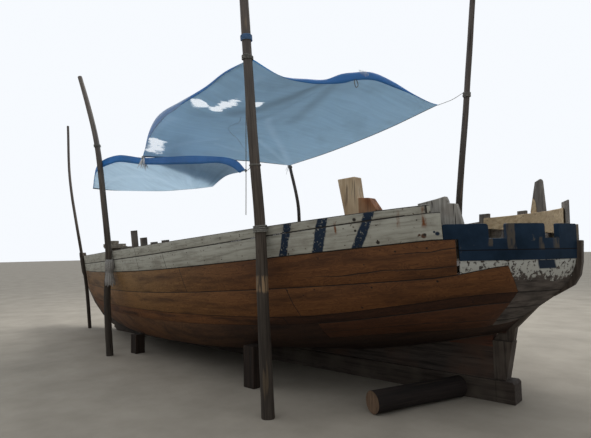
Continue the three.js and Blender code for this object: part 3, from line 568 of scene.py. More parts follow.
def sharp_rims(shape, side):
    """The outer upper and lower rim of a plank as lists of points, by rising x."""
    upper, lower = {}, {}
    for edge in shape.edges:
        if len(edge.link_faces) != 2:
            continue
        skin, narrow = sorted(edge.link_faces, key=breadth, reverse=True)
        if faces_out(skin) < 0.5 or skin.normal.angle(narrow.normal) < RIM_TURN:
            continue
        along = (edge.verts[1].co - edge.verts[0].co).normalized()
        if abs(along.z) > RIM_SLOPE or abs(narrow.normal.x) > 0.6:
            continue
        away = narrow.calc_center_median() - skin.calc_center_median()
        rim = upper if away.y * side + away.z > 0 else lower
        for vert in edge.verts:
            rim[vert.index] = vert.co.copy()
    lines = []
    for rim in (upper, lower):
        points = sorted(rim.values(), key=lambda p: p.x)
        lines.append(points[:1] + [p for p, q in zip(points[1:], points) if p.x - q.x > RIM_STEP])
    return lines


def along_rim(rim, x):
    """The point of a rim at x, straight between its neighbours and drawn on past its ends."""
    last = next((k for k in range(1, len(rim) - 1) if x <= rim[k].x), len(rim) - 1)
    first, second = rim[last - 1], rim[last]
    return first.lerp(second, (x - first.x) / max(second.x - first.x, 1e-6))


# %% [markdown]
# The measure comes from those rims. On the quarter and the bottom the planking
# is one wide body, so there the height or the girth from the keel stands in,
# and the seams between its boards are drawn as dark lines.

# %% Lay the measure on a plank
STERN_TURN = (-3.4, 1.0)
GIRTH_FOOT = 0.15
# Stands in for the distance to the upper rim where a wide body has none
WIDE = 9.0


def along_hull(place):
    """Distance along the planks: x amidships, and round the quarter from the turn on."""
    turn_x, turn_y = STERN_TURN
    if place.x > turn_x:
        return place.x
    return turn_x - math.hypot(place.x - turn_x, abs(place.y) - turn_y)


def lay_measure(shape, rims):
    """Writes the plank measure on every point. rims is upper and lower, or the word height or girth."""
    layer = shape.verts.layers.float_vector.new("plank")
    for vert in shape.verts:
        place = vert.co
        if rims == "height":
            low, high = place.z, WIDE
        elif rims == "girth":
            low, high = math.hypot(place.y, place.z - GIRTH_FOOT), WIDE
        else:
            head, foot = (along_rim(rim, place.x) for rim in rims)
            up = head - foot
            high = max(up.length, 0.001)
            low = (place - foot).dot(up) / high
            high -= low
        vert[layer] = (along_hull(place), low, high)


# %% Blunt the blocks
def round_edges(shape, edges, width):
    bmesh.ops.bevel(
        shape, geom=edges, offset=width, offset_type="OFFSET", segments=2,
        profile=0.5, affect="EDGES", clamp_overlap=True, material=-1,
    )
    shape.normal_update()


BLOCK_TOP = 1.54
BLUNT_CORNERS = (-4.02, -4.10)
LIGHT_CUT, DEEP_CUT = 0.016, 0.038


def blunt_blocks(shape):
    """Chamfers the top corners of the notched bulwark's blocks, two of them deeply."""
    corners = {LIGHT_CUT: [], DEEP_CUT: []}
    for edge in shape.edges:
        first, second = (vert.co for vert in edge.verts)
        middle = (first + second) / 2
        outward = Vector((min(middle.x - HULL_HEART.x, 0.0), middle.y, 0.0)).normalized()
        across = (second - first).normalized()
        if middle.z < BLOCK_TOP or len(edge.link_faces) != 2 or abs(across.dot(outward)) < 0.75:
            continue
        tops = sorted(abs(face.normal.z) for face in edge.link_faces)
        if tops[1] > 0.9 and tops[0] < 0.3:
            deep = any(abs(middle.x - x) < 0.035 for x in BLUNT_CORNERS)
            corners[DEEP_CUT if deep else LIGHT_CUT].append(edge)
    print("blunted corners:", {width: len(edges) for width, edges in corners.items()})
    for width, edges in corners.items():
        edges = [edge for edge in edges if edge.is_valid]
        if edges:
            round_edges(shape, edges, width)


# %% Dress a strake
PLANK_EASE = 0.003
SHARP = math.radians(40)


def dress_planks(node, side, finish, slot, rims=None):
    """A worked copy of a strake that stands for the node. Returns its rims."""
    shape = merged_copy(node)
    if rims is None:
        rims = sharp_rims(shape, side)
    if node.endswith("navy_bulwark"):
        blunt_blocks(shape)
    sharp = [e for e in shape.edges if len(e.link_faces) == 2 and e.calc_face_angle(0) > SHARP]
    round_edges(shape, sharp, PLANK_EASE)
    lay_measure(shape, rims)
    for face in shape.faces:
        outside = face.normal.y * side > 0.05 or face.normal.z < -0.5
        face.material_index = 0 if outside else 1
    piece = add_piece(node.replace("strake", "planks") + "_worked", shape, [finish, grey_beam], slot)
    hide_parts(node)
    return rims


# %% The strakes' finishes
FRESH_DARK = (0.083, 0.0278, 0.0077)
FRESH_LIGHT = (0.244, 0.104, 0.0325)
# The new wood forward: paler than the FRESH tones as painted light, where the bow stands brighter
TAN_DARK = (0.135, 0.067, 0.022)
TAN_LIGHT = (0.325, 0.182, 0.066)
DARK_HOLES = [(-3.074, 1.41, 0.008), (-3.311, 1.432, 0.008), (-2.811, 1.30, 0.006), (-2.4, 1.36, 0.006)]
LOW_HOLES = [
    (-3.335, 1.241, 0.010), (-3.01, 1.205, 0.007), (-3.352, 1.159, 0.009), (-2.814, 1.188, 0.008),
    (-2.844, 1.103, 0.008), (-2.72, 0.921, 0.008), (-2.314, 1.144, 0.007), (-2.023, 1.056, 0.008),
    (-2.316, 1.076, 0.007), (-2.191, 1.018, 0.007),
]
upper_white = white_paint("upper_white_paint", [(0.60, 0.5), (3.15, 0.9)])
lower_white = white_paint("lower_white_paint", [(0.555, 0.35), (-0.183, 0.42), (2.995, 1.1)])
upper_fresh = bare_planks(
    "upper_new_planks", FRESH_DARK, FRESH_LIGHT, [(-0.541, 0.35), (2.4, 0.4)],
    cracks=[(0.085, -3.6, -2.4), (0.225, -3.6, -3.1)],
    fore=(-1.6, 0.8, TAN_DARK, TAN_LIGHT), holes=DARK_HOLES,
)
# Forward its boards are paler as painted light, where the bow stands brighter
lower_fresh = bare_planks(
    "lower_new_planks", FRESH_DARK, FRESH_LIGHT, [(1.75, 0.3), (-2.1, 0.3)],
    fore=(-1.4, 0.6, (0.137, 0.060, 0.0175), (0.325, 0.163, 0.052)), holes=LOW_HOLES,
)
# The same new wood in darker tones: painted shade, where this strake lies in shadow low on the hull
bottom_fresh = bare_planks(
    "bottom_new_planks", (0.045, 0.0152, 0.0054), (0.133, 0.050, 0.018), [(-1.2, 0.2)],
    cracks=[(0.12, -4.0, -2.0)],
)
# Nearly black aft and brown forward: the black aft is partly old wood and partly painted shade
old_planks = bare_planks(
    "old_planks", (0.021, 0.0076, 0.0043), (0.083, 0.033, 0.0135), [(0.9, 0.2), (-1.9, 0.2)], 0.2, 0.85,
    fore=(-1.9, -0.6, (0.095, 0.033, 0.010), (0.245, 0.101, 0.032)),
)
# Darker aft, partly painted shade, and brown forward
old_bottom = bare_planks(
    "old_bottom_planks", (0.022, 0.010, 0.006), (0.075, 0.036, 0.019), [(0.3, 0.0), (-1.4, 0.0)],
    0.1, 0.85, cracks=[(0.35, -4.5, 4.5), (0.62, -4.5, 4.5), (0.88, -4.5, 4.5)],
    fore=(-1.2, 1.0, (0.094, 0.039, 0.014), (0.224, 0.105, 0.038)),
)
print("bare planks:", [m.name for m in (upper_fresh, lower_fresh, bottom_fresh, old_planks, old_bottom)])

# %% [markdown]
# ### The stern's paint
# Above the quarter the bulwark is navy, worn to grey where ropes rub. Under it
# an old white coat has flaked off in small scales, and then the wood is bare
# and nearly black. A smooth blend would look like fog there, so a threshold on
# fine noise gives the scales their hard edges.


# %% Navy
# Each bare place's middle along the boat, its half-width, foot and top
BARE_PLACES = [
    (-3.856, 0.024, 1.415, 1.620), (-4.020, 0.008, 1.405, 1.505), (-4.098, 0.010, 1.415, 1.505),
    (-3.732, 0.010, 1.44, 1.50),
]
BULWARK_SEAM = 1.408


def navy_paint():
    material, shader, here = new_finish("navy_paint_worn", 0.75, 0.12)
    lines, (x, _, z), _, _ = rims_and_butts(here, [], 0.003)
    clouds = speckle(here, EVEN, 5.0, 5.0, 0.65)
    colour = ramp(clouds, (0.35, (0.0075, 0.0195, 0.037)), (0.7, (0.0155, 0.034, 0.064)))
    worn = ramp(speckle(here, (1.0, 1.0, 0.5), 14.0, 5.0, 0.7), (0.66, 0.0), (0.72, 0.8))
    colour = blend(worn, colour, (0.13, 0.115, 0.095))
    rough = speckle(here, (1.0, 1.0, 0.3), 26.0, 3.0)
    patchy = ramp(rough, (0.36, 0.45), (0.48, 1.0))
    for middle, half, foot, top in BARE_PLACES:
        along = about(x + (rough - 0.5) * 0.05, middle, half)
        colour = blend(along * between(z, foot, top, 0.008) * patchy, colour, (0.085, 0.074, 0.062))
    lines = either(lines, fine_line(z, BULWARK_SEAM, 0.004))
    coat(shader, blend(lines, colour, (0.006, 0.007, 0.012)), clouds - lines, 0.4)
    return material


# %% Flaking white
FLAKE_FOOT = 1.105
QUARTER_SEAMS = (1.055, 0.915, 0.80)
# A small navy patch: its middle and half-width along the boat, then the same in height
PATCH_X, PATCH_Z = (-4.035, 0.045), (1.285, 0.036)


def flaking_white():
    material, shader, here = new_finish("flaking_white_paint", 0.85)
    x, _, z = parts(here)
    fibres = speckle(here, (4.0, 4.0, 26.0), 1.4, 6.0, 0.62)
    colour = ramp(fibres, (0.32, (0.033, 0.027, 0.024)), (0.70, (0.143, 0.120, 0.106)))
    scales = speckle(here, EVEN, 30.0, 5.0, 0.72)
    foot = speckle(here, EVEN, 6.0, 3.0) * 0.10 + FLAKE_FOOT
    height = span(z - foot, 0.0, 0.08)
    kept = sum_up("GREATER_THAN", scales + height * 0.14, 0.58)
    share = kept * sum_up("GREATER_THAN", height, 0.01)
    colour = blend(share, colour, (0.46, 0.46, 0.42))
    seams = either(*(fine_line(z, at, 0.004) for at in QUARTER_SEAMS))
    colour = blend(seams, colour, (0.010, 0.008, 0.007))
    coat(shader, blend(about(x, *PATCH_X) * about(z, *PATCH_Z), colour, NAVY), fibres + share)
    return material


navy = navy_paint()
flaking = flaking_white()

# %% Dress every strake on both sides
STRAKES = [
    ("upper_white_strake", upper_white, "white_paint", None),
    ("lower_white_strake", lower_white, "white_paint", None),
    ("upper_brown_strake", upper_fresh, "fresh_wood", None),
    ("lower_brown_strake", lower_fresh, "fresh_wood", None),
    ("dark_strake", old_planks, "old_wood", None),
    ("fresh_lower_planks", bottom_fresh, "fresh_wood", None),
    ("bilge_planking", old_bottom, "dark_wood", "girth"),
    ("bottom_planking", old_bottom, "dark_wood", "girth"),
    ("quarter_planking", flaking, "old_wood", "height"),
    ("quarter_strip", flaking, "old_wood", "height"),
    ("navy_bulwark", navy, "navy_paint", "height"),
]
strake_rims = {}
for side_name, side in SIDES.items():
    for strake, finish, slot, rims in STRAKES:
        node = side_name + "_" + strake
        strake_rims[node] = dress_planks(node, side, finish, slot, rims)
for node, rims in strake_rims.items():
    if not isinstance(rims, str) and node.startswith("port"):
        print(node, "rims of", [len(r) for r in rims], "points")

# %% [markdown]
# ## Timbers of the model
# Frames, beams, posts and decks keep the model's own shape. A Weld modifier
# closes the loose triangles, and a Bevel then eases the sharp edges a little,
# so that light catches them as on real timber.

# %% Finish the timbers that stay
TIMBERS = {
    "keel": grey_keel, "deadwood": red_boards, "stern_post": worn_post, "counter_post": worn_post,
    "stem_post": dark_post, "heel_block": grey_keel, "keelson_and_floors": grey_beam,
    "mast_step": grey_beam, "aft_deck": grey_keel, "foredeck": grey_keel,
}
for number in (1, 2, 3):
    TIMBERS[f"hold_beam_{number}"] = grey_beam
for side_name in SIDES:
    for group in ("cant", "aft", "middle", "fore"):
        TIMBERS[f"{side_name}_{group}_frames"] = grey_frame
    for prop in ("aft", "fore"):
        TIMBERS[f"{side_name}_{prop}_prop"] = dark_prop


EASED_ANGLE = math.radians(40)


def keep_node(node, finish, ease=0.006):
    """Gives a CAD node its finish and eased edges, and leaves its mesh as it is."""
    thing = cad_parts[node]
    for place in thing.material_slots:
        place.link = "OBJECT"
        place.material = finish
    weld = thing.modifiers.new("weld", "WELD")
    weld.merge_threshold = 1e-5
    soften = thing.modifiers.new("ease", "BEVEL")
    soften.width = ease
    soften.segments = 2
    soften.limit_method = "ANGLE"
    soften.angle_limit = EASED_ANGLE


for node, finish in TIMBERS.items():
    keep_node(node, finish)
print("timbers kept:", len(TIMBERS))

# %% [markdown]
# The keel and the deadwood are narrower than the opening between the bottom
# planks, so from low down daylight would show through the seam. A batten stops
# it in two stretches. Each of its stations feels for the underside of the
# planks with a ray from below.

# %% A batten in the keel's seam
BATTEN_HALF = 0.084
BATTEN_STEP = 0.1
# Each stretch's aft end and its number of stations
BATTEN_STRETCHES = ((-3.54, 31), (2.36, 16))
DEADWOOD_END = -1.25
KEEL_TOP = 0.2
bottom = merged_copy("port_bottom_planking")
bottom_skin = BVHTree.FromBMesh(bottom)
bottom.free()
batten = bmesh.new()
for aft_end, stations in BATTEN_STRETCHES:
    rings = []
    for station in range(stations):
        x = aft_end + BATTEN_STEP * station
        under = bottom_skin.ray_cast(Vector((x, 0.1, -0.1)), Vector((0.0, 0.0, 1.0)))[0].z
        foot = under - 0.010 if x < DEADWOOD_END else KEEL_TOP - 0.004
        corners = ((-1, foot), (1, foot), (1, under + 0.022), (-1, under + 0.022))
        rings.append([batten.verts.new((x, way * BATTEN_HALF, z)) for way, z in corners])
    close_rings(batten, rings)
    print("batten from", aft_end, "to", round(x, 2), "last underside", round(under, 4))
add_piece("keel_seam_batten", batten, [grey_keel], "grey_wood", 30)

# %% [markdown]
# ## Round timbers
# The shores are peeled trunks with a little taper, bends and knots. A bevelled
# curve would be quicker, but it would have no dents and no measure along the
# trunk. So each one is drawn ring by ring round a curve through a few points,
# the same centripetal Catmull-Rom curve that the model uses. A vector on the
# points keeps the trunk's own straight coordinates, so that the fibres follow
# a bend.


# %% A curve through points
def on_curve(points, share):
    """The point at share, from 0 to 1, of a centripetal Catmull-Rom curve through points."""
    count = len(points) - 1
    first = min(int(count * share), count - 1)
    part = count * share - first
    start, end = points[first], points[first + 1]
    before = points[first - 1] if first > 0 else 2 * start - end
    after = points[first + 2] if first + 2 <= count else 2 * end - start
    steps = [max((b - a).length ** 0.5, 1e-4) for a, b in ((before, start), (start, end), (end, after))]
    leave = (start - before) / steps[0] - (end - before) / (steps[0] + steps[1]) + (end - start) / steps[1]
    reach = (end - start) / steps[1] - (after - start) / (steps[1] + steps[2]) + (after - end) / steps[2]
    leave, reach = leave * steps[1], reach * steps[1]
    square = -3 * start + 3 * end - 2 * leave - reach
    cube = 2 * start - 2 * end + leave + reach
    return start + leave * part + square * part ** 2 + cube * part ** 3


def vectors(*rows):
    return [Vector(row) for row in rows]


# %% Rings along a curve
LEVEL_BELOW = 0.4


def path_length(points):
    return sum((b - a).length for a, b in zip(points, points[1:]))


def tube(points, radii, sides, step, rough=0.0, level_foot=False, seed=0):
    """A closed tube as a bmesh. rough shrinks it here and there by up to that share."""
    count = max(int(path_length(points) / step), 2 * len(points))
    centres = [on_curve(points, k / count) for k in range(count + 1)]
    shape = bmesh.new()
    layer = shape.verts.layers.float_vector.new("stem")
    side = None
    rings = []
    walked = 0.0
    for k, centre in enumerate(centres):
        ahead = centres[min(k + 1, count)] - centres[max(k - 1, 0)]
        if level_foot:
            rise = min(max(centre.z / LEVEL_BELOW, 0.0), 1.0)
            ahead = Vector((0, 0, 1)).lerp(ahead.normalized(), rise)
        ahead.normalize()
        if side is None:
            side = ahead.orthogonal().normalized()
        side = (side - ahead * side.dot(ahead)).normalized()
        other = ahead.cross(side)
        if k:
            walked += (centre - centres[k - 1]).length
        radius = radii[0] + (radii[1] - radii[0]) * k / count
        ring = []
        for i in range(sides):
            turn = 2 * math.pi * i / sides
            across, up = math.cos(turn), math.sin(turn)
            spot = Vector((across, up, walked * 1.6 + seed))
            dent = rough * (0.5 + 0.5 * noise.noise(spot * 1.7))
            vert = shape.verts.new(centre + (side * across + other * up) * radius * (1 - dent))
            vert[layer] = (radius * across, radius * up, walked + seed)
            ring.append(vert)
        rings.append(ring)
    close_rings(shape, rings)
    return shape


def merge_tubes(name, tubes, finish):
    """Many small tubes as one piece."""
    whole = bmesh.new()
    for shape in tubes:
        part = bpy.data.meshes.new("part")
        shape.to_mesh(part)
        shape.free()
        whole.from_mesh(part)
        bpy.data.meshes.remove(part)
    return add_piece(name, whole, [finish], None, 40)


# %% Peeled trunks
def trunk_wood(name, dark, light, bare=0.3, peeled=None):
    """Grey-brown fibres with long checks and knots, damp at the foot and bleached higher up.

    peeled is the height of a bare strip and its end.
    """
    material, shader, here = new_finish(name, 0.88)
    stem = on_points(here, "stem")
    fibres = speckle(stem, (60.0, 60.0, 2.2), 1.0, 6.0, 0.64)
    colour = ramp(fibres, (0.30, dark), (0.70, light))
    weather = ramp(speckle(stem, (9.0, 9.0, 1.1), 1.0, 3.0), (0.42, 0.0), (0.66, 0.7))
    colour = blend(weather, colour, shade(dark, 0.55))
    worn = ramp(speckle(stem, (14.0, 14.0, 1.5), 1.0, 2.0), (0.63, 0.0), (0.69, bare))
    colour = blend(worn, colour, (0.30, 0.21, 0.12))
    height = parts(here)[2]
    colour = blend(span(height, 1.5, 3.0), colour, blend(0.25, colour, (0.10, 0.10, 0.105)))
    bleach = span(height, 0.6, 3.2, 0.65, 1.75)
    colour = add("VectorMath", {0: colour, 3: bleach}, operation="SCALE")
    if peeled:
        strip = between(height + fibres * 0.12, *peeled, 0.01) * ramp(fibres, (0.46, 0.0), (0.52, 1.0))
        colour = blend(strip, colour, (0.26, 0.175, 0.10))
    knot = ramp(cells(stem, (9.0, 9.0, 3.4)), (0.05, 0.9), (0.14, 0.0))
    split = ramp(speckle(stem, (70.0, 70.0, 1.2), 1.0, 2.0, 0.4), (0.29, 1.0), (0.34, 0.0))
    marks = either(knot, split * 0.8)
    coat(shader, blend(marks, colour, (0.022, 0.016, 0.012)), fibres - marks, 0.7, 0.006)
    return material


BROWN_BARK = ((0.034, 0.025, 0.018), (0.100, 0.080, 0.062))
GREY_BARK = ((0.048, 0.038, 0.030), (0.135, 0.112, 0.088))
brown_trunk = trunk_wood("brown_trunk_wood", *BROWN_BARK)
near_trunk = trunk_wood("near_trunk_wood", *BROWN_BARK, peeled=(1.13, 1.27))
grey_trunk = trunk_wood("grey_trunk_wood", *GREY_BARK, 0.15)
print("trunk finishes:", [m.name for m in (brown_trunk, near_trunk, grey_trunk)])

# %% The five shores
POLES = {
    "near_pole": (vectors(
        (-2.11, 1.72, 0), (-1.95, 1.61, 1.0), (-1.85, 1.5363, 1.66), (-1.72, 1.5, 2.63),
        (-1.55, 1.44, 4.1), (-1.52, 1.43, 4.3),
    ), (0.062, 0.046)),
    "port_fore_pole": (vectors(
        (1.47, 1.31, 0), (1.51, 1.335, 0.8), (1.55, 1.304, 1.46), (1.63, 1.345, 2.23),
        (1.8, 1.37, 3.08), (2.12, 1.37, 3.76), (2.41, 1.37, 4.28),
    ), (0.052, 0.036)),
    "bow_pole": (vectors(
        (4.28, 0.28, 0), (4.2, 0.39, 0.8), (4.26, 0.4604, 1.4), (4.84, 0.47, 3.0), (5.0, 0.46, 4.15),
    ), (0.036, 0.024)),
    "starboard_aft_pole": (vectors(
        (-2.47, -1.64, 0), (-2.51, -1.58, 0.9), (-2.55, -1.4183, 1.7), (-2.7, -1.47, 3.32),
        (-2.86, -1.45, 4.75),
    ), (0.052, 0.038)),
    "starboard_mid_pole": (vectors(
        (0.0, -1.7, 0), (0.12, -1.64, 0.8), (0.26, -1.4913, 1.52), (0.36, -1.545, 2.25),
        (0.58, -1.58, 3.0),
    ), (0.038, 0.028)),
}
FINISHES = {"port_fore_pole": grey_trunk, "near_pole": near_trunk}
for k, (node, (points, radii)) in enumerate(POLES.items()):
    trunk = tube(points, radii, 18, 0.05, rough=0.12, level_foot=True, seed=7.0 * k)
    shore = add_piece(node + "_trunk", trunk, [FINISHES.get(node, brown_trunk)], "pole_bark", 50)
    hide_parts(node)
    print(node, "has", len(shore.data.vertices), "points")

# %% The chock log
LOG_RADIUS = 0.103
LOG_LINE = vectors((-2.76, 1.09, LOG_RADIUS), (-2.95, 0.62, LOG_RADIUS), (-3.145, 0.1412, LOG_RADIUS))
LOG_END = ((0.06, 0.035, 0.020), (0.20, 0.125, 0.075), (0.05, 0.035, 0.025))
log_shape = tube(LOG_LINE, (LOG_RADIUS, LOG_RADIUS), 24, 0.04, rough=0.10, seed=50.0)
# The log lies in deep shade under the hull, so its bark tones are painted shade, far darker than its wood.
log_bark = trunk_wood("log_bark_wood", (0.009, 0.006, 0.005), (0.032, 0.021, 0.017), 0.1)
log_end = timber("log_end_wood", "frame", *LOG_END)
for face in log_shape.faces:
    face.material_index = 1 if len(face.verts) > 4 else 0
chock = add_piece("chock_log_trunk", log_shape, [log_bark, log_end], "grey_wood", 50)
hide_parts("chock_log")
print("chock log:", round(path_length(LOG_LINE), 2), "m")

# %% [markdown]
# ## Tarpaulins
# A tarpaulin hangs between four edges that meet at its corners. A simulation
# would hang it too, but its edges would drift from where they are seen. So its
# inside comes from the edges as a Coons patch: the two ways to draw it straight
# across are added, and the flat sheet between the corners is taken away once.
# Hems hang from the near edges and from the big one's aft fold. The cloth is
# one layer, thickened downward, with its blue side up and its pale side down.


# %% Cloth between four edges
def hung_grid(near, far, aft, fore, sag, columns, lines):
    """Rows of points from the near edge to the far one; each row runs forward."""
    grid = []
    for r in range(lines + 1):
        t = r / lines
        row = []
        for c in range(columns + 1):
            s = c / columns
            corners = near[0].lerp(near[-1], s).lerp(far[0].lerp(far[-1], s), t)
            place = on_curve(near, s).lerp(on_curve(far, s), t)
            place = place + on_curve(aft, t).lerp(on_curve(fore, t), s) - corners
            place.z -= sag * math.sin(math.pi * t) * math.sin(math.pi * (0.1 + 0.8 * s))
            row.append(place)
        grid.append(row)
    return grid


RIPPLE = 0.006


def wrinkle(grid, creases):
    """Presses creases into the cloth. A crease is its two ends as shares (s, t), depth and half-width."""
    lines, columns = len(grid) - 1, len(grid[0]) - 1
    for r, row in enumerate(grid):
        for c, place in enumerate(row):
            s, t = c / columns, r / lines
            lift = RIPPLE * noise.noise(place * 3.5) + 0.5 * RIPPLE * noise.noise(place * 9.0)
            for (s0, t0), (s1, t1), depth, half in creases:
                line = Vector((s1 - s0, t1 - t0))
                run = min(max(Vector((s - s0, t - t0)).dot(line) / line.length_squared, 0.0), 1.0)
                off = (Vector((s - s0, t - t0)) - line * run).length / half
                lift -= depth * math.exp(-off * off) * (1 - 0.6 * run)
            rim = min(1.0, 6 * s, 6 * (1 - s), 6 * t, 6 * (1 - t))
            place.z += lift * rim


# %% Make a tarpaulin from its grid
TARP_THICK = 0.002


def tarpaulin(name, grid, top, hem, under, hem_rows=0, hem_columns=0):
    """A thickened sheet. Its first rows and columns are hems of one finish on both sides."""
    shape = bmesh.new()
    layer = shape.verts.layers.float_vector.new("cloth")
    made = []
    for r, row in enumerate(grid):
        line = []
        for c, place in enumerate(row):
            vert = shape.verts.new(place)
            vert[layer] = (c / (len(row) - 1), r / (len(grid) - 1), 0.0)
            line.append(vert)
        made.append(line)
    for r in range(len(grid) - 1):
        for c in range(len(grid[0]) - 1):
            face = shape.faces.new((made[r][c], made[r][c + 1], made[r + 1][c + 1], made[r + 1][c]))
            face.material_index = 1 if r < hem_rows or c < hem_columns else 0
    shape.normal_update()
    if sum(face.normal.z * face.calc_area() for face in shape.faces) < 0:
        bmesh.ops.reverse_faces(shape, faces=shape.faces)
    piece = add_piece(name, shape, [top, hem, under, hem], None, 180)
    thick = piece.modifiers.new("cloth", "SOLIDIFY")
    thick.thickness = TARP_THICK
    thick.offset = -1
    thick.material_offset = 2
    thick.material_offset_rim = 1
    return piece


def cut_size(grid):
    """The lengths of the middle row and the middle column, and the area, in metres."""
    across = path_length(grid[len(grid) // 2])
    down = path_length([line[len(line) // 2] for line in grid])
    area = 0.0
    for low, high in zip(grid, grid[1:]):
        for c in range(len(low) - 1):
            area += (low[c + 1] - low[c]).cross(high[c] - low[c]).length / 2
            area += (high[c + 1] - low[c + 1]).cross(high[c + 1] - high[c]).length / 2
    print("cut:", round(across, 2), "by", round(down, 2), "m, area", round(area, 3))
    return across, down, area


# %% [markdown]
# Seen from below, the woven plastic glows with the daylight that it lets
# through. A transparent shader would show the sky as sharply as glass, so a
# translucent one is mixed in, and only the threadbare places are clear.


# %% Woven plastic sheet
def fold_line(cloth, start, end, half):
    """A soft mask along a straight fold between two places of the cloth."""
    run = (end[0] - start[0], end[1] - start[1], 0.0)
    flat = vector_sum("MULTIPLY", cloth, (1.0, 1.0, 0.0))
    off = vector_sum("SUBTRACT", flat, (*start, 0.0))
    share = span(vector_sum("DOT_PRODUCT", off, run, "Value"), 0.0, run[0] ** 2 + run[1] ** 2)
    nearest = add("VectorMath", {0: run, 3: share}, operation="SCALE")
    away = vector_sum("DISTANCE", off, nearest, "Value")
    return span(away, 0.0, half, 1.0, 0.0, interpolation_type="SMOOTHSTEP")


def thin_places(cloth, worn):
    """How much daylight comes straight through: threads that show near the worn places."""
    masks = []
    for middle_s, middle_t, half_s, half_t in worn:
        away = vector_sum("LENGTH", add("Mapping", {
            "Vector": cloth, "Location": (-middle_s / half_s, -middle_t / half_t, 0.0),
            "Scale": (1 / half_s, 1 / half_t, 0.0),
        }), out="Value")
        masks.append(sum_up("MAXIMUM", 1.0 - away, -1.0) * 0.35)
    threads = speckle(cloth, (30.0, 8.0, 1.0), 1.0, 4.0, 0.7)
    return span(either(*masks) + threads, 0.56, 0.66, 0.0, 0.8)


EDGE_INSIDE = 0.9925
EDGE_GLOW = (0.05, 0.07, 0.09)
# Painted light: the pale blue that the hem shows where it curls and daylight comes through it
PAINTED_HEM_LIGHT = (0.66, 0.76, 0.88)


def woven_sheet(name, low, high, dirt, tint, shining=0.5, worn=(), folds=(), paler=()):
    """Woven plastic: broad streaks, dirt in the folds, and a share of daylight let through with a tint.

    worn are the threadbare places: the middle and the half-widths, as shares along and across the cloth.
    folds are (start, end, half-width, tone) of painted light along the creases: a tone over 0 is a painted
    highlight and one under 0 a painted shadow.
    The last argument gives lines (start, end, half-width) of painted light: the hem is paler where it curls
    and daylight comes through it.
    """
    material, shader, here = new_finish(name, 0.5)
    cloth = on_points(here, "cloth")
    colour = ramp(speckle(cloth, (26.0, 3.0, 1.0), 1.0, 4.0, 0.55), (0.30, low), (0.70, high))
    soiled = ramp(speckle(here, EVEN, 2.2, 4.0, 0.6), (0.50, 0.0), (0.75, 0.5))
    colour = blend(soiled, colour, dirt)
    # Painted light along the hem's curl, where daylight comes through the cloth
    for line in paler:
        colour = blend(fold_line(cloth, *line), colour, PAINTED_HEM_LIGHT)
    coat(shader, colour, speckle(here, EVEN, 14.0, 4.0, 0.6), 0.35, 0.01)
    weave = ramp(speckle(cloth, (60.0, 4.0, 1.0), 1.0, 3.0, 0.6), (0.35, 0.0), (0.65, 0.5))
    glow = blend(weave, shade(tint, 0.92), tuple(min(1.1 * c, 1.0) for c in tint))
    glow = blend(soiled, glow, shade(tint, 0.78))
    # Painted highlights and painted shadows along the creases, in the light that comes through
    for start, end, half, tone in folds:
        mask = fold_line(cloth, start, end, half) * abs(tone)
        glow = blend(mask, glow, (0.95, 0.97, 1.0) if tone > 0 else shade(tint, 0.45))
    s, t = parts(cloth)[:2]
    inner = between(s, -1.0, EDGE_INSIDE, 0.001) * between(t, -1.0, EDGE_INSIDE, 0.001)
    through = add("BsdfTranslucent", {"Color": blend(inner, EDGE_GLOW, glow)})
    surface = add("MixShader", {0: shining, 1: Signal(shader.outputs[0]), 2: through})
    tree = material.node_tree
    if worn:
        clear = Signal(tree.nodes.new("ShaderNodeBsdfTransparent").outputs[0])
        surface = add("MixShader", {0: thin_places(cloth, worn), 1: surface, 2: clear})
    tree.links.new(surface.socket, tree.nodes["Material Output"].inputs["Surface"])
    return material


# %% The tarpaulins' finishes
BLUE = ((0.048, 0.18, 0.47), (0.10, 0.29, 0.64), (0.14, 0.27, 0.48))
PALE = ((0.42, 0.55, 0.66), (0.56, 0.68, 0.76), (0.34, 0.44, 0.52))
HEM_TINT = (0.20, 0.64, 1.0)
# Lines of painted light on the hem's curl: start, end and half-width
HEM_PAINTED_LIGHT_LINES = [((0.42, 0.050), (0.90, 0.050), 0.045), ((0.46, 0.0), (0.92, 0.0), 0.032)]
WORN = [
    (0.42, 0.095, 0.045, 0.035), (0.375, 0.155, 0.075, 0.03), (0.321, 0.246, 0.03, 0.03),
    (0.935, 0.095, 0.06, 0.055), (0.915, 0.12, 0.035, 0.045),
]
# Painted highlights (tone over 0) and painted shadows (tone under 0) along the big tarpaulin's creases:
# start, end, half-width and tone
FOLDS = [
    ((0.99, 0.99), (0.47, 0.46), 0.030, 0.45), ((0.99, 0.99), (0.75, 0.62), 0.022, 0.40),
    ((0.99, 0.97), (0.86, 0.40), 0.018, 0.30), ((0.05, 0.46), (0.42, 0.24), 0.075, -0.55),
    ((0.05, 0.50), (0.50, 0.62), 0.050, -0.35), ((0.98, 0.06), (0.62, 0.10), 0.030, 0.35),
    ((0.98, 0.08), (0.80, 0.38), 0.025, 0.25), ((0.10, 0.12), (0.30, 0.16), 0.020, 0.30),
]
# Painted highlights and painted shadows along the bow tarpaulin's creases, in the same order
BOW_FOLDS = [
    ((0.97, 0.35), (0.55, 0.70), 0.05, 0.45), ((0.42, 0.10), (0.36, 0.95), 0.03, 0.5),
    ((0.70, 0.25), (0.52, 0.95), 0.03, 0.4), ((0.15, 0.30), (0.10, 0.90), 0.05, -0.3),
]
blue_hem = woven_sheet("tarp_blue_hem", *BLUE, HEM_TINT)
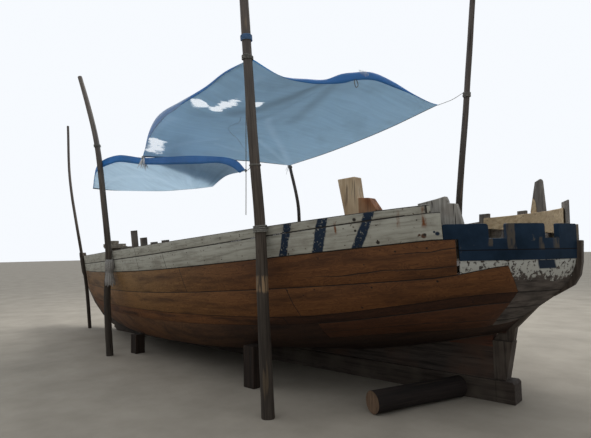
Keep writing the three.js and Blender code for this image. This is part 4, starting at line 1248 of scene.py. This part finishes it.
# The big tarpaulin's hem, with painted light along its curl
hem_with_painted_light = woven_sheet("tarp_hem_painted_light", *BLUE, HEM_TINT, paler=HEM_PAINTED_LIGHT_LINES)
blue_side = woven_sheet("tarp_blue_side", *BLUE, (0.40, 0.56, 0.68), 0.50, WORN)
pale_side = woven_sheet("tarp_pale_side", *PALE, (0.68, 0.77, 0.82), 0.70, WORN, FOLDS)
bow_blue_side = woven_sheet("bow_tarp_blue_side", *BLUE, (0.62, 0.78, 0.88), 0.60)
bow_pale_side = woven_sheet("bow_tarp_pale_side", *PALE, (0.84, 0.89, 0.93), 0.78, (), BOW_FOLDS)
print("cloth finishes:", [m.name for m in (blue_side, pale_side, bow_blue_side, bow_pale_side)])

# %% The big tarpaulin's edges
KNOT = (0.7, 1.25, 2.7486)
FAR_FORE_CORNER = (0.545, -1.548, 2.965)
FAR_AFT_CORNER = (-2.324, -1.42, 3.395)
MAIN_NEAR = vectors(
    (-1.622, 1.4223, 3.40), (-1.184, 1.389, 3.395), (-0.796, 1.36, 3.328), (-0.25, 1.32, 3.288),
    (0.168, 1.289, 3.262), (0.385, 1.272, 3.20), (0.56, 1.26, 3.05), KNOT,
)
MAIN_FAR = vectors(FAR_AFT_CORNER, (-1.462, -1.472, 3.219), (-0.391, -1.512, 3.057), FAR_FORE_CORNER)
MAIN_FORE = vectors(KNOT, (0.648, 0.341, 2.854), (0.598, -0.524, 2.932), FAR_FORE_CORNER)
# The aft edge is a fold: its ridge, and how far the hem hangs below it
AFT_FOLD = [
    ((-1.622, 1.4223, 3.40), 0.006), ((-1.717, 1.083, 3.299), 0.027), ((-1.804, 0.724, 3.34), 0.068),
    ((-1.862, 0.491, 3.385), 0.075), ((-1.921, 0.244, 3.505), 0.135), ((-1.962, 0.076, 3.557), 0.121),
    ((-2.036, -0.227, 3.622), 0.126), ((-2.117, -0.564, 3.58), 0.107), ((-2.204, -0.924, 3.485), 0.05),
    ((-2.278, -1.229, 3.42), 0.03), (FAR_AFT_CORNER, 0.006),
]
MAIN_AFT = vectors(*(ridge for ridge, drop in AFT_FOLD))
AFT_HEM = vectors(*((x, y, z - drop) for (x, y, z), drop in AFT_FOLD))
for side_title, edge in (("near", MAIN_NEAR), ("far", MAIN_FAR), ("aft", MAIN_AFT), ("fore", MAIN_FORE)):
    print("big tarpaulin's", side_title, "edge:", round(path_length(edge), 2), "m")

# %% Hems
HEM_STEPS = 3


def hem_depth(depths, share):
    """The hem's depth at a share of the edge, eased between depths that stand at even steps."""
    step = share * (len(depths) - 1)
    before = min(int(step), len(depths) - 2)
    part = step - before
    return depths[before] + (depths[before + 1] - depths[before]) * part * part * (3 - 2 * part)


def hang_near_hem(grid, depths):
    """Rows that hang straight down from the near edge."""
    edge = grid[0]
    for k in range(1, HEM_STEPS + 1):
        row = []
        for c, place in enumerate(edge):
            fall = hem_depth(depths, c / (len(edge) - 1)) * k / HEM_STEPS
            row.append(place + Vector((0, 0.004 * k, -fall - 0.0005 * k)))
        grid.insert(0, row)


def hang_aft_hem(grid, hem):
    """Columns that hang from the fold down to the hem's curve."""
    lines = len(grid) - HEM_STEPS - 1
    for r, row in enumerate(grid):
        ridge = row[0].copy()
        foot = on_curve(hem, max(r - HEM_STEPS, 0) / lines)
        if r < HEM_STEPS:
            foot = foot + (ridge - grid[HEM_STEPS][0])
        for k in range(1, HEM_STEPS + 1):
            share = k / HEM_STEPS
            row.insert(0, ridge.lerp(foot, share) + Vector((-0.03 * math.sin(math.pi * share / 2), 0, 0)))


# %% The big tarpaulin
main_grid = hung_grid(MAIN_NEAR, MAIN_FAR, MAIN_AFT, MAIN_FORE, 0.06, 64, 56)
wrinkle(main_grid, [
    ((1.0, 1.0), (0.45, 0.45), 0.035, 0.035), ((1.0, 1.0), (0.62, 0.35), 0.03, 0.03),
    ((0.0, 0.47), (0.5, 0.85), 0.04, 0.045), ((0.0, 0.45), (0.45, 0.35), 0.03, 0.04),
    ((0.28, 0.0), (0.50, 0.9), 0.02, 0.04),
])
hang_near_hem(main_grid, (0.0, 0.03, 0.04, 0.045, 0.085, 0.13, 0.14, 0.10, 0.0))
hang_aft_hem(main_grid, AFT_HEM)
big_tarp = tarpaulin("big_tarpaulin", main_grid, blue_side, hem_with_painted_light, pale_side, HEM_STEPS, HEM_STEPS)
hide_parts("awning_main")
width, length, area = cut_size(main_grid)

# %% The bow tarpaulin
BOW_NEAR = vectors(
    (-1.565, 1.445, 2.25), (-1.40, 1.43, 2.38), (-0.71, 1.37, 2.54), (0.7, 1.25, 2.74),
    (1.35, 1.29, 2.865), (1.85, 1.31, 2.82), (3.1, 0.8, 2.60),
)
BOW_FAR = vectors(
    (0.68, 0.08, 2.45), (1.15, -0.02, 2.48), (1.7, -0.1, 2.52), (2.4, -0.15, 2.57), (3.3, 0.15, 2.64),
)
BOW_AFT = [BOW_NEAR[0], Vector((-0.45, 0.77, 2.41)), BOW_FAR[0]]
bow_grid = hung_grid(BOW_NEAR, BOW_FAR, BOW_AFT, [BOW_NEAR[-1], BOW_FAR[-1]], 0.025, 64, 36)
wrinkle(bow_grid, [((0.30, 0.0), (0.36, 0.9), 0.02, 0.03), ((0.5, 0.0), (0.55, 1.0), 0.02, 0.04)])
hang_near_hem(bow_grid, (0.0, 0.10, 0.07, 0.10, 0.09, 0.10, 0.113, 0.107, 0.0))
bow_tarp = tarpaulin("bow_tarpaulin", bow_grid, bow_blue_side, blue_hem, bow_pale_side, HEM_STEPS, 0)
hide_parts("awning_bow")
width, length, area = cut_size(bow_grid)
min(area, width * length)

# %% [markdown]
# ## Timbers above the rail
# Four timbers are newer or greyer than the hull: the new plank at the far
# quarter, the fresh post with its red wedge, the chalky boards at the end and
# the loose boards at the bow. The model has their shape, so only the finish
# and the eased edges are new.

# %% Finish the timbers above the rail
NEW_WOOD = ((0.36, 0.25, 0.135), (0.62, 0.48, 0.29), (0.43, 0.31, 0.18))
PALE_POST = ((0.42, 0.31, 0.19), (0.70, 0.58, 0.41), (0.38, 0.26, 0.15))
# The wedge lies aft of this place, and has a dark and a light red
WEDGE = (0, -2.705, (0.084, 0.026, 0.010), (0.36, 0.15, 0.058))
new_wood = timber("new_plank_wood", "fore_and_aft", *NEW_WOOD, 0.7, 0.3)
keep_node("starboard_new_plank", new_wood, 0.004)
keep_node("fresh_post", timber("pale_post_wood", "upright", *PALE_POST, 0.7, 0.5, below=WEDGE))
keep_node("end_boards", chalky_boards)
keep_node("bow_boards", grey_beam, 0.004)
print("wood above the rail:", [m.name for m in (new_wood, chalky_boards, grey_beam)])

# %% [markdown]
# ## Fastenings
# Each plank is nailed to the frames near both of its rims. Dots in the finish
# would catch no light, so the heads are low cones set on the plank's face, and
# all of them are one piece. The frames stand 0.29 m apart, so the nails do too.

# %% Nail heads
FRAME_PLACES = [-2.96 + 0.29 * k for k in range(26)] + [-3.25, -3.54]
NAIL_INSET = 0.035
NAIL_MARGIN = 0.04
NARROWEST = 0.09
NAIL_RADIUS = 0.0065


def nail_places(rims, side):
    """(point, outward normal) of the nails along both rims of a plank."""
    head, foot = rims
    for x in FRAME_PLACES:
        high, low = along_rim(head, x), along_rim(foot, x)
        on_plank = max(head[0].x, foot[0].x) + NAIL_MARGIN < x < min(head[-1].x, foot[-1].x) - NAIL_MARGIN
        if not on_plank or (high - low).length < NARROWEST:
            continue
        up = (high - low).normalized()
        forward = along_rim(head, x + 0.05) - along_rim(head, x - 0.05)
        out = forward.cross(up).normalized()
        if out.y * side < 0:
            out = -out
        shift = noise.noise(Vector((x * 7, high.z * 5, side))) * 0.02
        inset = up * (NAIL_INSET + abs(shift))
        for spot in (high - inset, low + inset):
            yield spot + forward.normalized() * shift, out


IRON = ((0.35, (0.012, 0.009, 0.008)), (0.7, (0.055, 0.022, 0.010)))
iron = mottled("rusty_iron", 0.8, (40.0, 3.0), *IRON)
nails = bmesh.new()
count = 0
for node, rims in strake_rims.items():
    if isinstance(rims, str):
        continue
    for spot, out in nail_places(rims, SIDES[node.split("_")[0]]):
        turned = out.to_track_quat("Z", "Y").to_matrix().to_4x4()
        bmesh.ops.create_cone(
            nails, cap_ends=True, segments=7, radius1=NAIL_RADIUS, radius2=NAIL_RADIUS * 0.6,
            depth=0.005, matrix=Matrix.Translation(spot + out * 0.0005) @ turned,
        )
        count += 1
add_piece("nail_heads", nails, [iron], None, 20)
print("nails:", count)

# %% [markdown]
# ## Lashings
# A plain ring round a shore would look like a collar. So ropes are wound as
# helices on the trunk's own surface, and a lashing sits on its pole from every
# side. Short strands lead from them to the tarpaulins' corners.


# %% Rope
def rope_finish(name, dark, light):
    """Laid rope: fine slanting strands, soiled here and there."""
    material, shader, here = new_finish(name, 0.9)
    strands = speckle(here, (1.0, 1.0, 2.5), 90.0, 2.0)
    dirty = ramp(speckle(here, EVEN, 9.0, 3.0), (0.50, 0.0), (0.70, 0.5))
    colour = blend(dirty, ramp(strands, (0.35, dark), (0.65, light)), shade(dark, 0.5))
    coat(shader, colour, strands, 0.5, 0.002)
    return material


grey_rope = rope_finish("grey_rope", (0.10, 0.095, 0.085), (0.28, 0.27, 0.24))
blue_rope = rope_finish("blue_rope", (0.05, 0.12, 0.26), (0.16, 0.27, 0.44))
white_cloth = rope_finish("white_gathers", (0.60, 0.62, 0.63), (0.88, 0.90, 0.91))


def trunk_at(node, height):
    """The centre and radius of a shore's trunk at a height."""
    points, radii = POLES[node]
    share = min((k / 400 for k in range(401)), key=lambda k: abs(on_curve(points, k).z - height))
    return on_curve(points, share), radii[0] + (radii[1] - radii[0]) * share


def around(centre, height, reach, angle):
    """The point at a height, a distance and an angle round the upright line through centre."""
    return Vector((centre.x + reach * math.cos(angle), centre.y + reach * math.sin(angle), height))


def coil(centre, reach, turn, rise, count):
    """Points that climb round an upright line from centre."""
    return [around(centre, centre.z + rise * k, reach, turn * k) for k in range(count)]


POINTS_PER_TURN = 14
FIRST_ANGLE = 0.8
# How far a turn climbs, as a share of the rope's radius
CLIMB = 2.15


def wound(node, height, turns, radius):
    """Points of a helix that lies on the trunk round a height."""
    points = []
    for k in range(int(turns * POINTS_PER_TURN) + 1):
        angle = FIRST_ANGLE + 2 * math.pi * k / POINTS_PER_TURN
        z = height + (k / POINTS_PER_TURN - turns / 2) * CLIMB * radius
        centre, trunk = trunk_at(node, z)
        sway = 0.4 * radius * noise.noise(Vector((angle, height, turns)))
        reach = trunk * 0.97 + radius * 0.8 + abs(sway)
        points.append(around(centre, z + sway, reach, angle))
    return points


def strand(name, points, radius, finish, sides=7):
    """A rope along points, as a piece of its own."""
    return add_piece(name, tube(points, (radius, radius), sides, 3 * radius), [finish], None, 60)


# %% Lashings round the shores
LASHINGS = {
    "near_pole_blue_lashing": ("near_pole", 3.61, 3.5, 0.007, blue_rope),
    "near_pole_tarp_tie": ("near_pole", 3.395, 3.3, 0.006, grey_rope),
    "near_pole_rail_lashing": ("near_pole", 1.645, 3.6, 0.008, grey_rope),
    "near_pole_bow_tie": ("near_pole", 2.27, 1.87, 0.004, grey_rope),
    "fore_pole_tie": ("port_fore_pole", 3.063, 2.6, 0.006, grey_rope),
    "starboard_aft_tie": ("starboard_aft_pole", 3.46, 4.0, 0.007, grey_rope),
    "starboard_mid_tie": ("starboard_mid_pole", 2.945, 3.2, 0.007, grey_rope),
}
lashing_ends = {}
for name, (node, height, turns, radius, finish) in LASHINGS.items():
    path = wound(node, height, turns, radius)
    lashing_ends[name] = path[-1]
    strand(name, path, radius, finish)
print("lashings:", len(LASHINGS))

# %% Strands from the far corners
far_aft_line = vectors((-2.52, -1.452, 3.435), (-2.42, -1.436, 3.412), FAR_AFT_CORNER)
strand("far_aft_corner_line", [lashing_ends["starboard_aft_tie"], *far_aft_line], 0.0035, grey_rope)
STRING_ENDS = ((0.02, 0.04, 0.17), (-0.03, 0.05, 0.12), (0.05, 0.02, 0.09))
corner = Vector(FAR_FORE_CORNER)
for k, (dx, dy, drop) in enumerate(STRING_ENDS):
    falls = vectors((0.01, 0.02, -0.004), (dx * 0.5, 0.03 + dy * 0.4, -drop * 0.4), (dx, 0.03 + dy, -drop))
    strand(f"far_fore_corner_string_{k + 1}", [corner + fall for fall in falls], 0.003, white_cloth, 5)
print("strings at the far fore corner:", len(STRING_ENDS))

# %% The knot where the two tarpaulins meet
TAILS = 15
knot = Vector(KNOT)
tails = []
for k in range(TAILS):
    turn = 2 * math.pi * k / TAILS
    reach = 0.055 + 0.05 * noise.noise(Vector((k * 3.1, 0.5, 0.0)))
    drop = 0.12 + 0.10 * abs(noise.noise(Vector((k * 1.7, 2.5, 0.0))))
    end = around(knot, knot.z - drop, reach, turn)
    bend = knot.lerp(end, 0.35) + Vector((0.012 * math.cos(turn), 0, 0))
    path = [knot + Vector((0, 0, 0.015)), bend, end]
    tails.append(tube(path, (0.014, 0.004), 6, 0.02, rough=0.3, seed=k))
merge_tubes("knot_gathers", tails, white_cloth)
strand("knot_collar", coil(knot - Vector((0, 0, 0.03)), 0.022, 0.45, 0.0011, 40), 0.004, grey_rope, 6)
print("tails of the knot:", len(tails))

# %% [markdown]
# One rope hangs free beside the near shore. The bow tarpaulin's corner is
# knotted to it, and a short tie holds the knot to the shore.

# %% The free rope by the near shore
HANGING = vectors(
    (-1.572, 1.452, 3.375), (-1.58, 1.452, 2.975), (-1.574, 1.45, 2.60), (-1.57, 1.45, 2.307),
    (-1.566, 1.45, 2.05), (-1.561, 1.45, 1.80),
)
ROPE_RADIUS = 0.004
hanging_rope = strand("hanging_rope", HANGING, ROPE_RADIUS, grey_rope, 8)
line = [on_curve(HANGING, k / 60) for k in range(61)]
rope_length = path_length(line)
print("hanging rope:", round(rope_length, 3), "m")
tuple(HANGING[0])
[tuple(p) for p in line]

# %% The bow tarpaulin's corner
tie_start, tie_end = lashing_ends["near_pole_bow_tie"], BOW_NEAR[0]
slack = tie_start.lerp(tie_end, 0.5) + Vector((0, 0, -0.012))
strand("bow_corner_tie", [tie_start, slack, tie_end], 0.003, grey_rope)
strand("bow_corner_knot", coil(Vector((-1.57, 1.45, 2.238)), 0.009, 0.5, 0.0008, 32), 0.0035, grey_rope, 6)
print("bow corner tie:", round((tie_end - tie_start).length, 3), "m")

# %% [markdown]
# ## The rag
# A pale rag hangs from the forward port shore. A flat sheet would stand off it
# like a flag, so the rows are arcs round the trunk: the top lies close to it,
# and below it the cloth swings out a little and falls in three soft folds.

# %% Rag
RAG_TOP = 1.36
RAG_LENGTH = 0.37
RAG_FOLDS = 3
RAG_SIDE = math.radians(182)
RAG_ROWS, RAG_COLUMNS = 18, 24
rag_grid = []
for r in range(RAG_ROWS + 1):
    fall = r / RAG_ROWS
    height = RAG_TOP - RAG_LENGTH * fall
    centre, trunk = trunk_at("port_fore_pole", height)
    row = []
    for c in range(RAG_COLUMNS + 1):
        across = c / RAG_COLUMNS - 0.5
        angle = RAG_SIDE + across * (2.5 - 0.9 * fall)
        pleat = 0.014 * math.sin(2 * math.pi * RAG_FOLDS * (across + 0.5) + 2.5 * fall)
        reach = trunk + 0.006 + abs(pleat) + 0.035 * fall + 0.012 * math.sin(9 * fall)
        ragged = 0.05 * noise.noise(Vector((c * 0.31, 4.0, 0.0))) * fall
        row.append(around(centre, height + ragged, reach, angle))
    rag_grid.append(row)
rag_cloth = rope_finish("rag_cloth", (0.22, 0.21, 0.20), (0.42, 0.40, 0.37))
rag = tarpaulin("fore_pole_rag", rag_grid, rag_cloth, rag_cloth, rag_cloth)
width, length, area = cut_size(rag_grid)
min(area, width * length)

# %% [markdown]
# ## Small things
# The far horn has a strip of freshly cut wood on its inboard face. Thread draws
# the big tarpaulin's aft fold together above its middle, a loop of rope hangs
# there, and a thin cord lies under the cloth.

# %% The horn's fresh face
# Levels of the face: height, its forward and its aft corner, and the strip's share of it
HORN_LEVELS = [
    (1.73, (-3.6022, -0.8131), (-3.7756, -0.6619), 0.42),
    (1.82, (-3.602, -0.8236), (-3.779, -0.669), 0.40),
    (1.90, (-3.6174, -0.8199), (-3.7704, -0.6859), 0.30),
    (1.945, (-3.6261, -0.8179), (-3.7656, -0.6953), 0.10),
]
FACING = Vector((0.66, 0.75, 0.0))
STRIP_START = 0.03
sliver = bmesh.new()
rungs = []
for height, fore, aft, share in HORN_LEVELS:
    ends = vectors((*fore, height), (*aft, height))
    first, last = (ends[0].lerp(ends[1], place) for place in (STRIP_START, STRIP_START + share))
    corners = ((first, -0.002), (first, 0.003), (last, 0.003), (last, -0.002))
    rungs.append([sliver.verts.new(spot + FACING * off) for spot, off in corners])
close_rings(sliver, rungs)
add_piece("horn_fresh_face", sliver, [new_wood], None, 30)
print("fresh face from", HORN_LEVELS[0][0], "to", HORN_LEVELS[-1][0], "m high")

# %% Puckers and a loop at the fold
fold_spot = on_curve(MAIN_AFT, 0.53)
threads = []
for k in range(9):
    slant = (k - 4) / 4
    top = fold_spot + Vector((-0.045, 0.05 - 0.26 * (k / 8), 0.004 - 0.02 * abs(slant)))
    foot = top + Vector((-0.004, 0.02 * slant, -0.075 + 0.03 * abs(slant)))
    path = [top, top.lerp(foot, 0.5) + Vector((-0.006, 0, 0)), foot]
    threads.append(tube(path, (0.004, 0.002), 5, 0.01, rough=0.2, seed=k))
merge_tubes("fold_puckers", threads, white_cloth)
LOOP = vectors((0, 0, 0), (-0.01, 0.03, -0.05), (-0.01, 0, -0.10), (-0.01, -0.045, -0.06), (0, -0.03, 0.004))
loop_top = on_curve(AFT_HEM, 0.50) + Vector((-0.03, 0, 0.012))
strand("fold_loop", [loop_top + step for step in LOOP], 0.005, grey_rope)
print("puckers:", len(threads), "at", [round(c, 2) for c in fold_spot])

# %% The cord under the big tarpaulin
UNDER_ROUTE = [
    (-0.52, 0.58), (-0.34, 0.42), (-0.12, 0.40), (0.02, 0.27), (0.16, 0.02), (0.34, -0.28), (0.50, -0.55),
]
CORD_GAP = TARP_THICK + 0.004


def under_cloth(grid, x, y):
    """The point just under the cloth nearest to a place in plan."""
    spot = min((place for row in grid for place in row), key=lambda p: (p.x - x) ** 2 + (p.y - y) ** 2)
    return Vector((spot.x, spot.y, spot.z - CORD_GAP))


under_path = [under_cloth(main_grid, x, y) for x, y in UNDER_ROUTE]
strand("underside_cord", under_path, 0.003, white_cloth, 6)
print("cord under the cloth:", round(path_length(under_path), 2), "m")

# %% [markdown]
# ## The ground
# A plain pale floor carries the boat and takes its shadow.

# %% Floor
FLOOR_HALF = 150
FLOOR_TONES = ((0.3, (0.265, 0.238, 0.195)), (0.7, (0.352, 0.317, 0.262)))
pale = mottled("pale_floor", 0.95, (1.5, 6.0, 0.6), *FLOOR_TONES)
ground = bmesh.new()
bmesh.ops.create_grid(ground, x_segments=1, y_segments=1, size=FLOOR_HALF)
floor_mesh = bpy.data.meshes.new("floor")
ground.to_mesh(floor_mesh)
ground.free()
floor_mesh.materials.append(pale)
floor = bpy.data.objects.new("floor", floor_mesh)
bpy.context.collection.objects.link(floor)
floor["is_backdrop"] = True
print("floor:", 2 * FLOOR_HALF, "m wide")

# %% Sizes and the end
dressed_box = [list(corner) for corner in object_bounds()]
print("dressed:", [[round(v, 3) for v in corner] for corner in dressed_box])
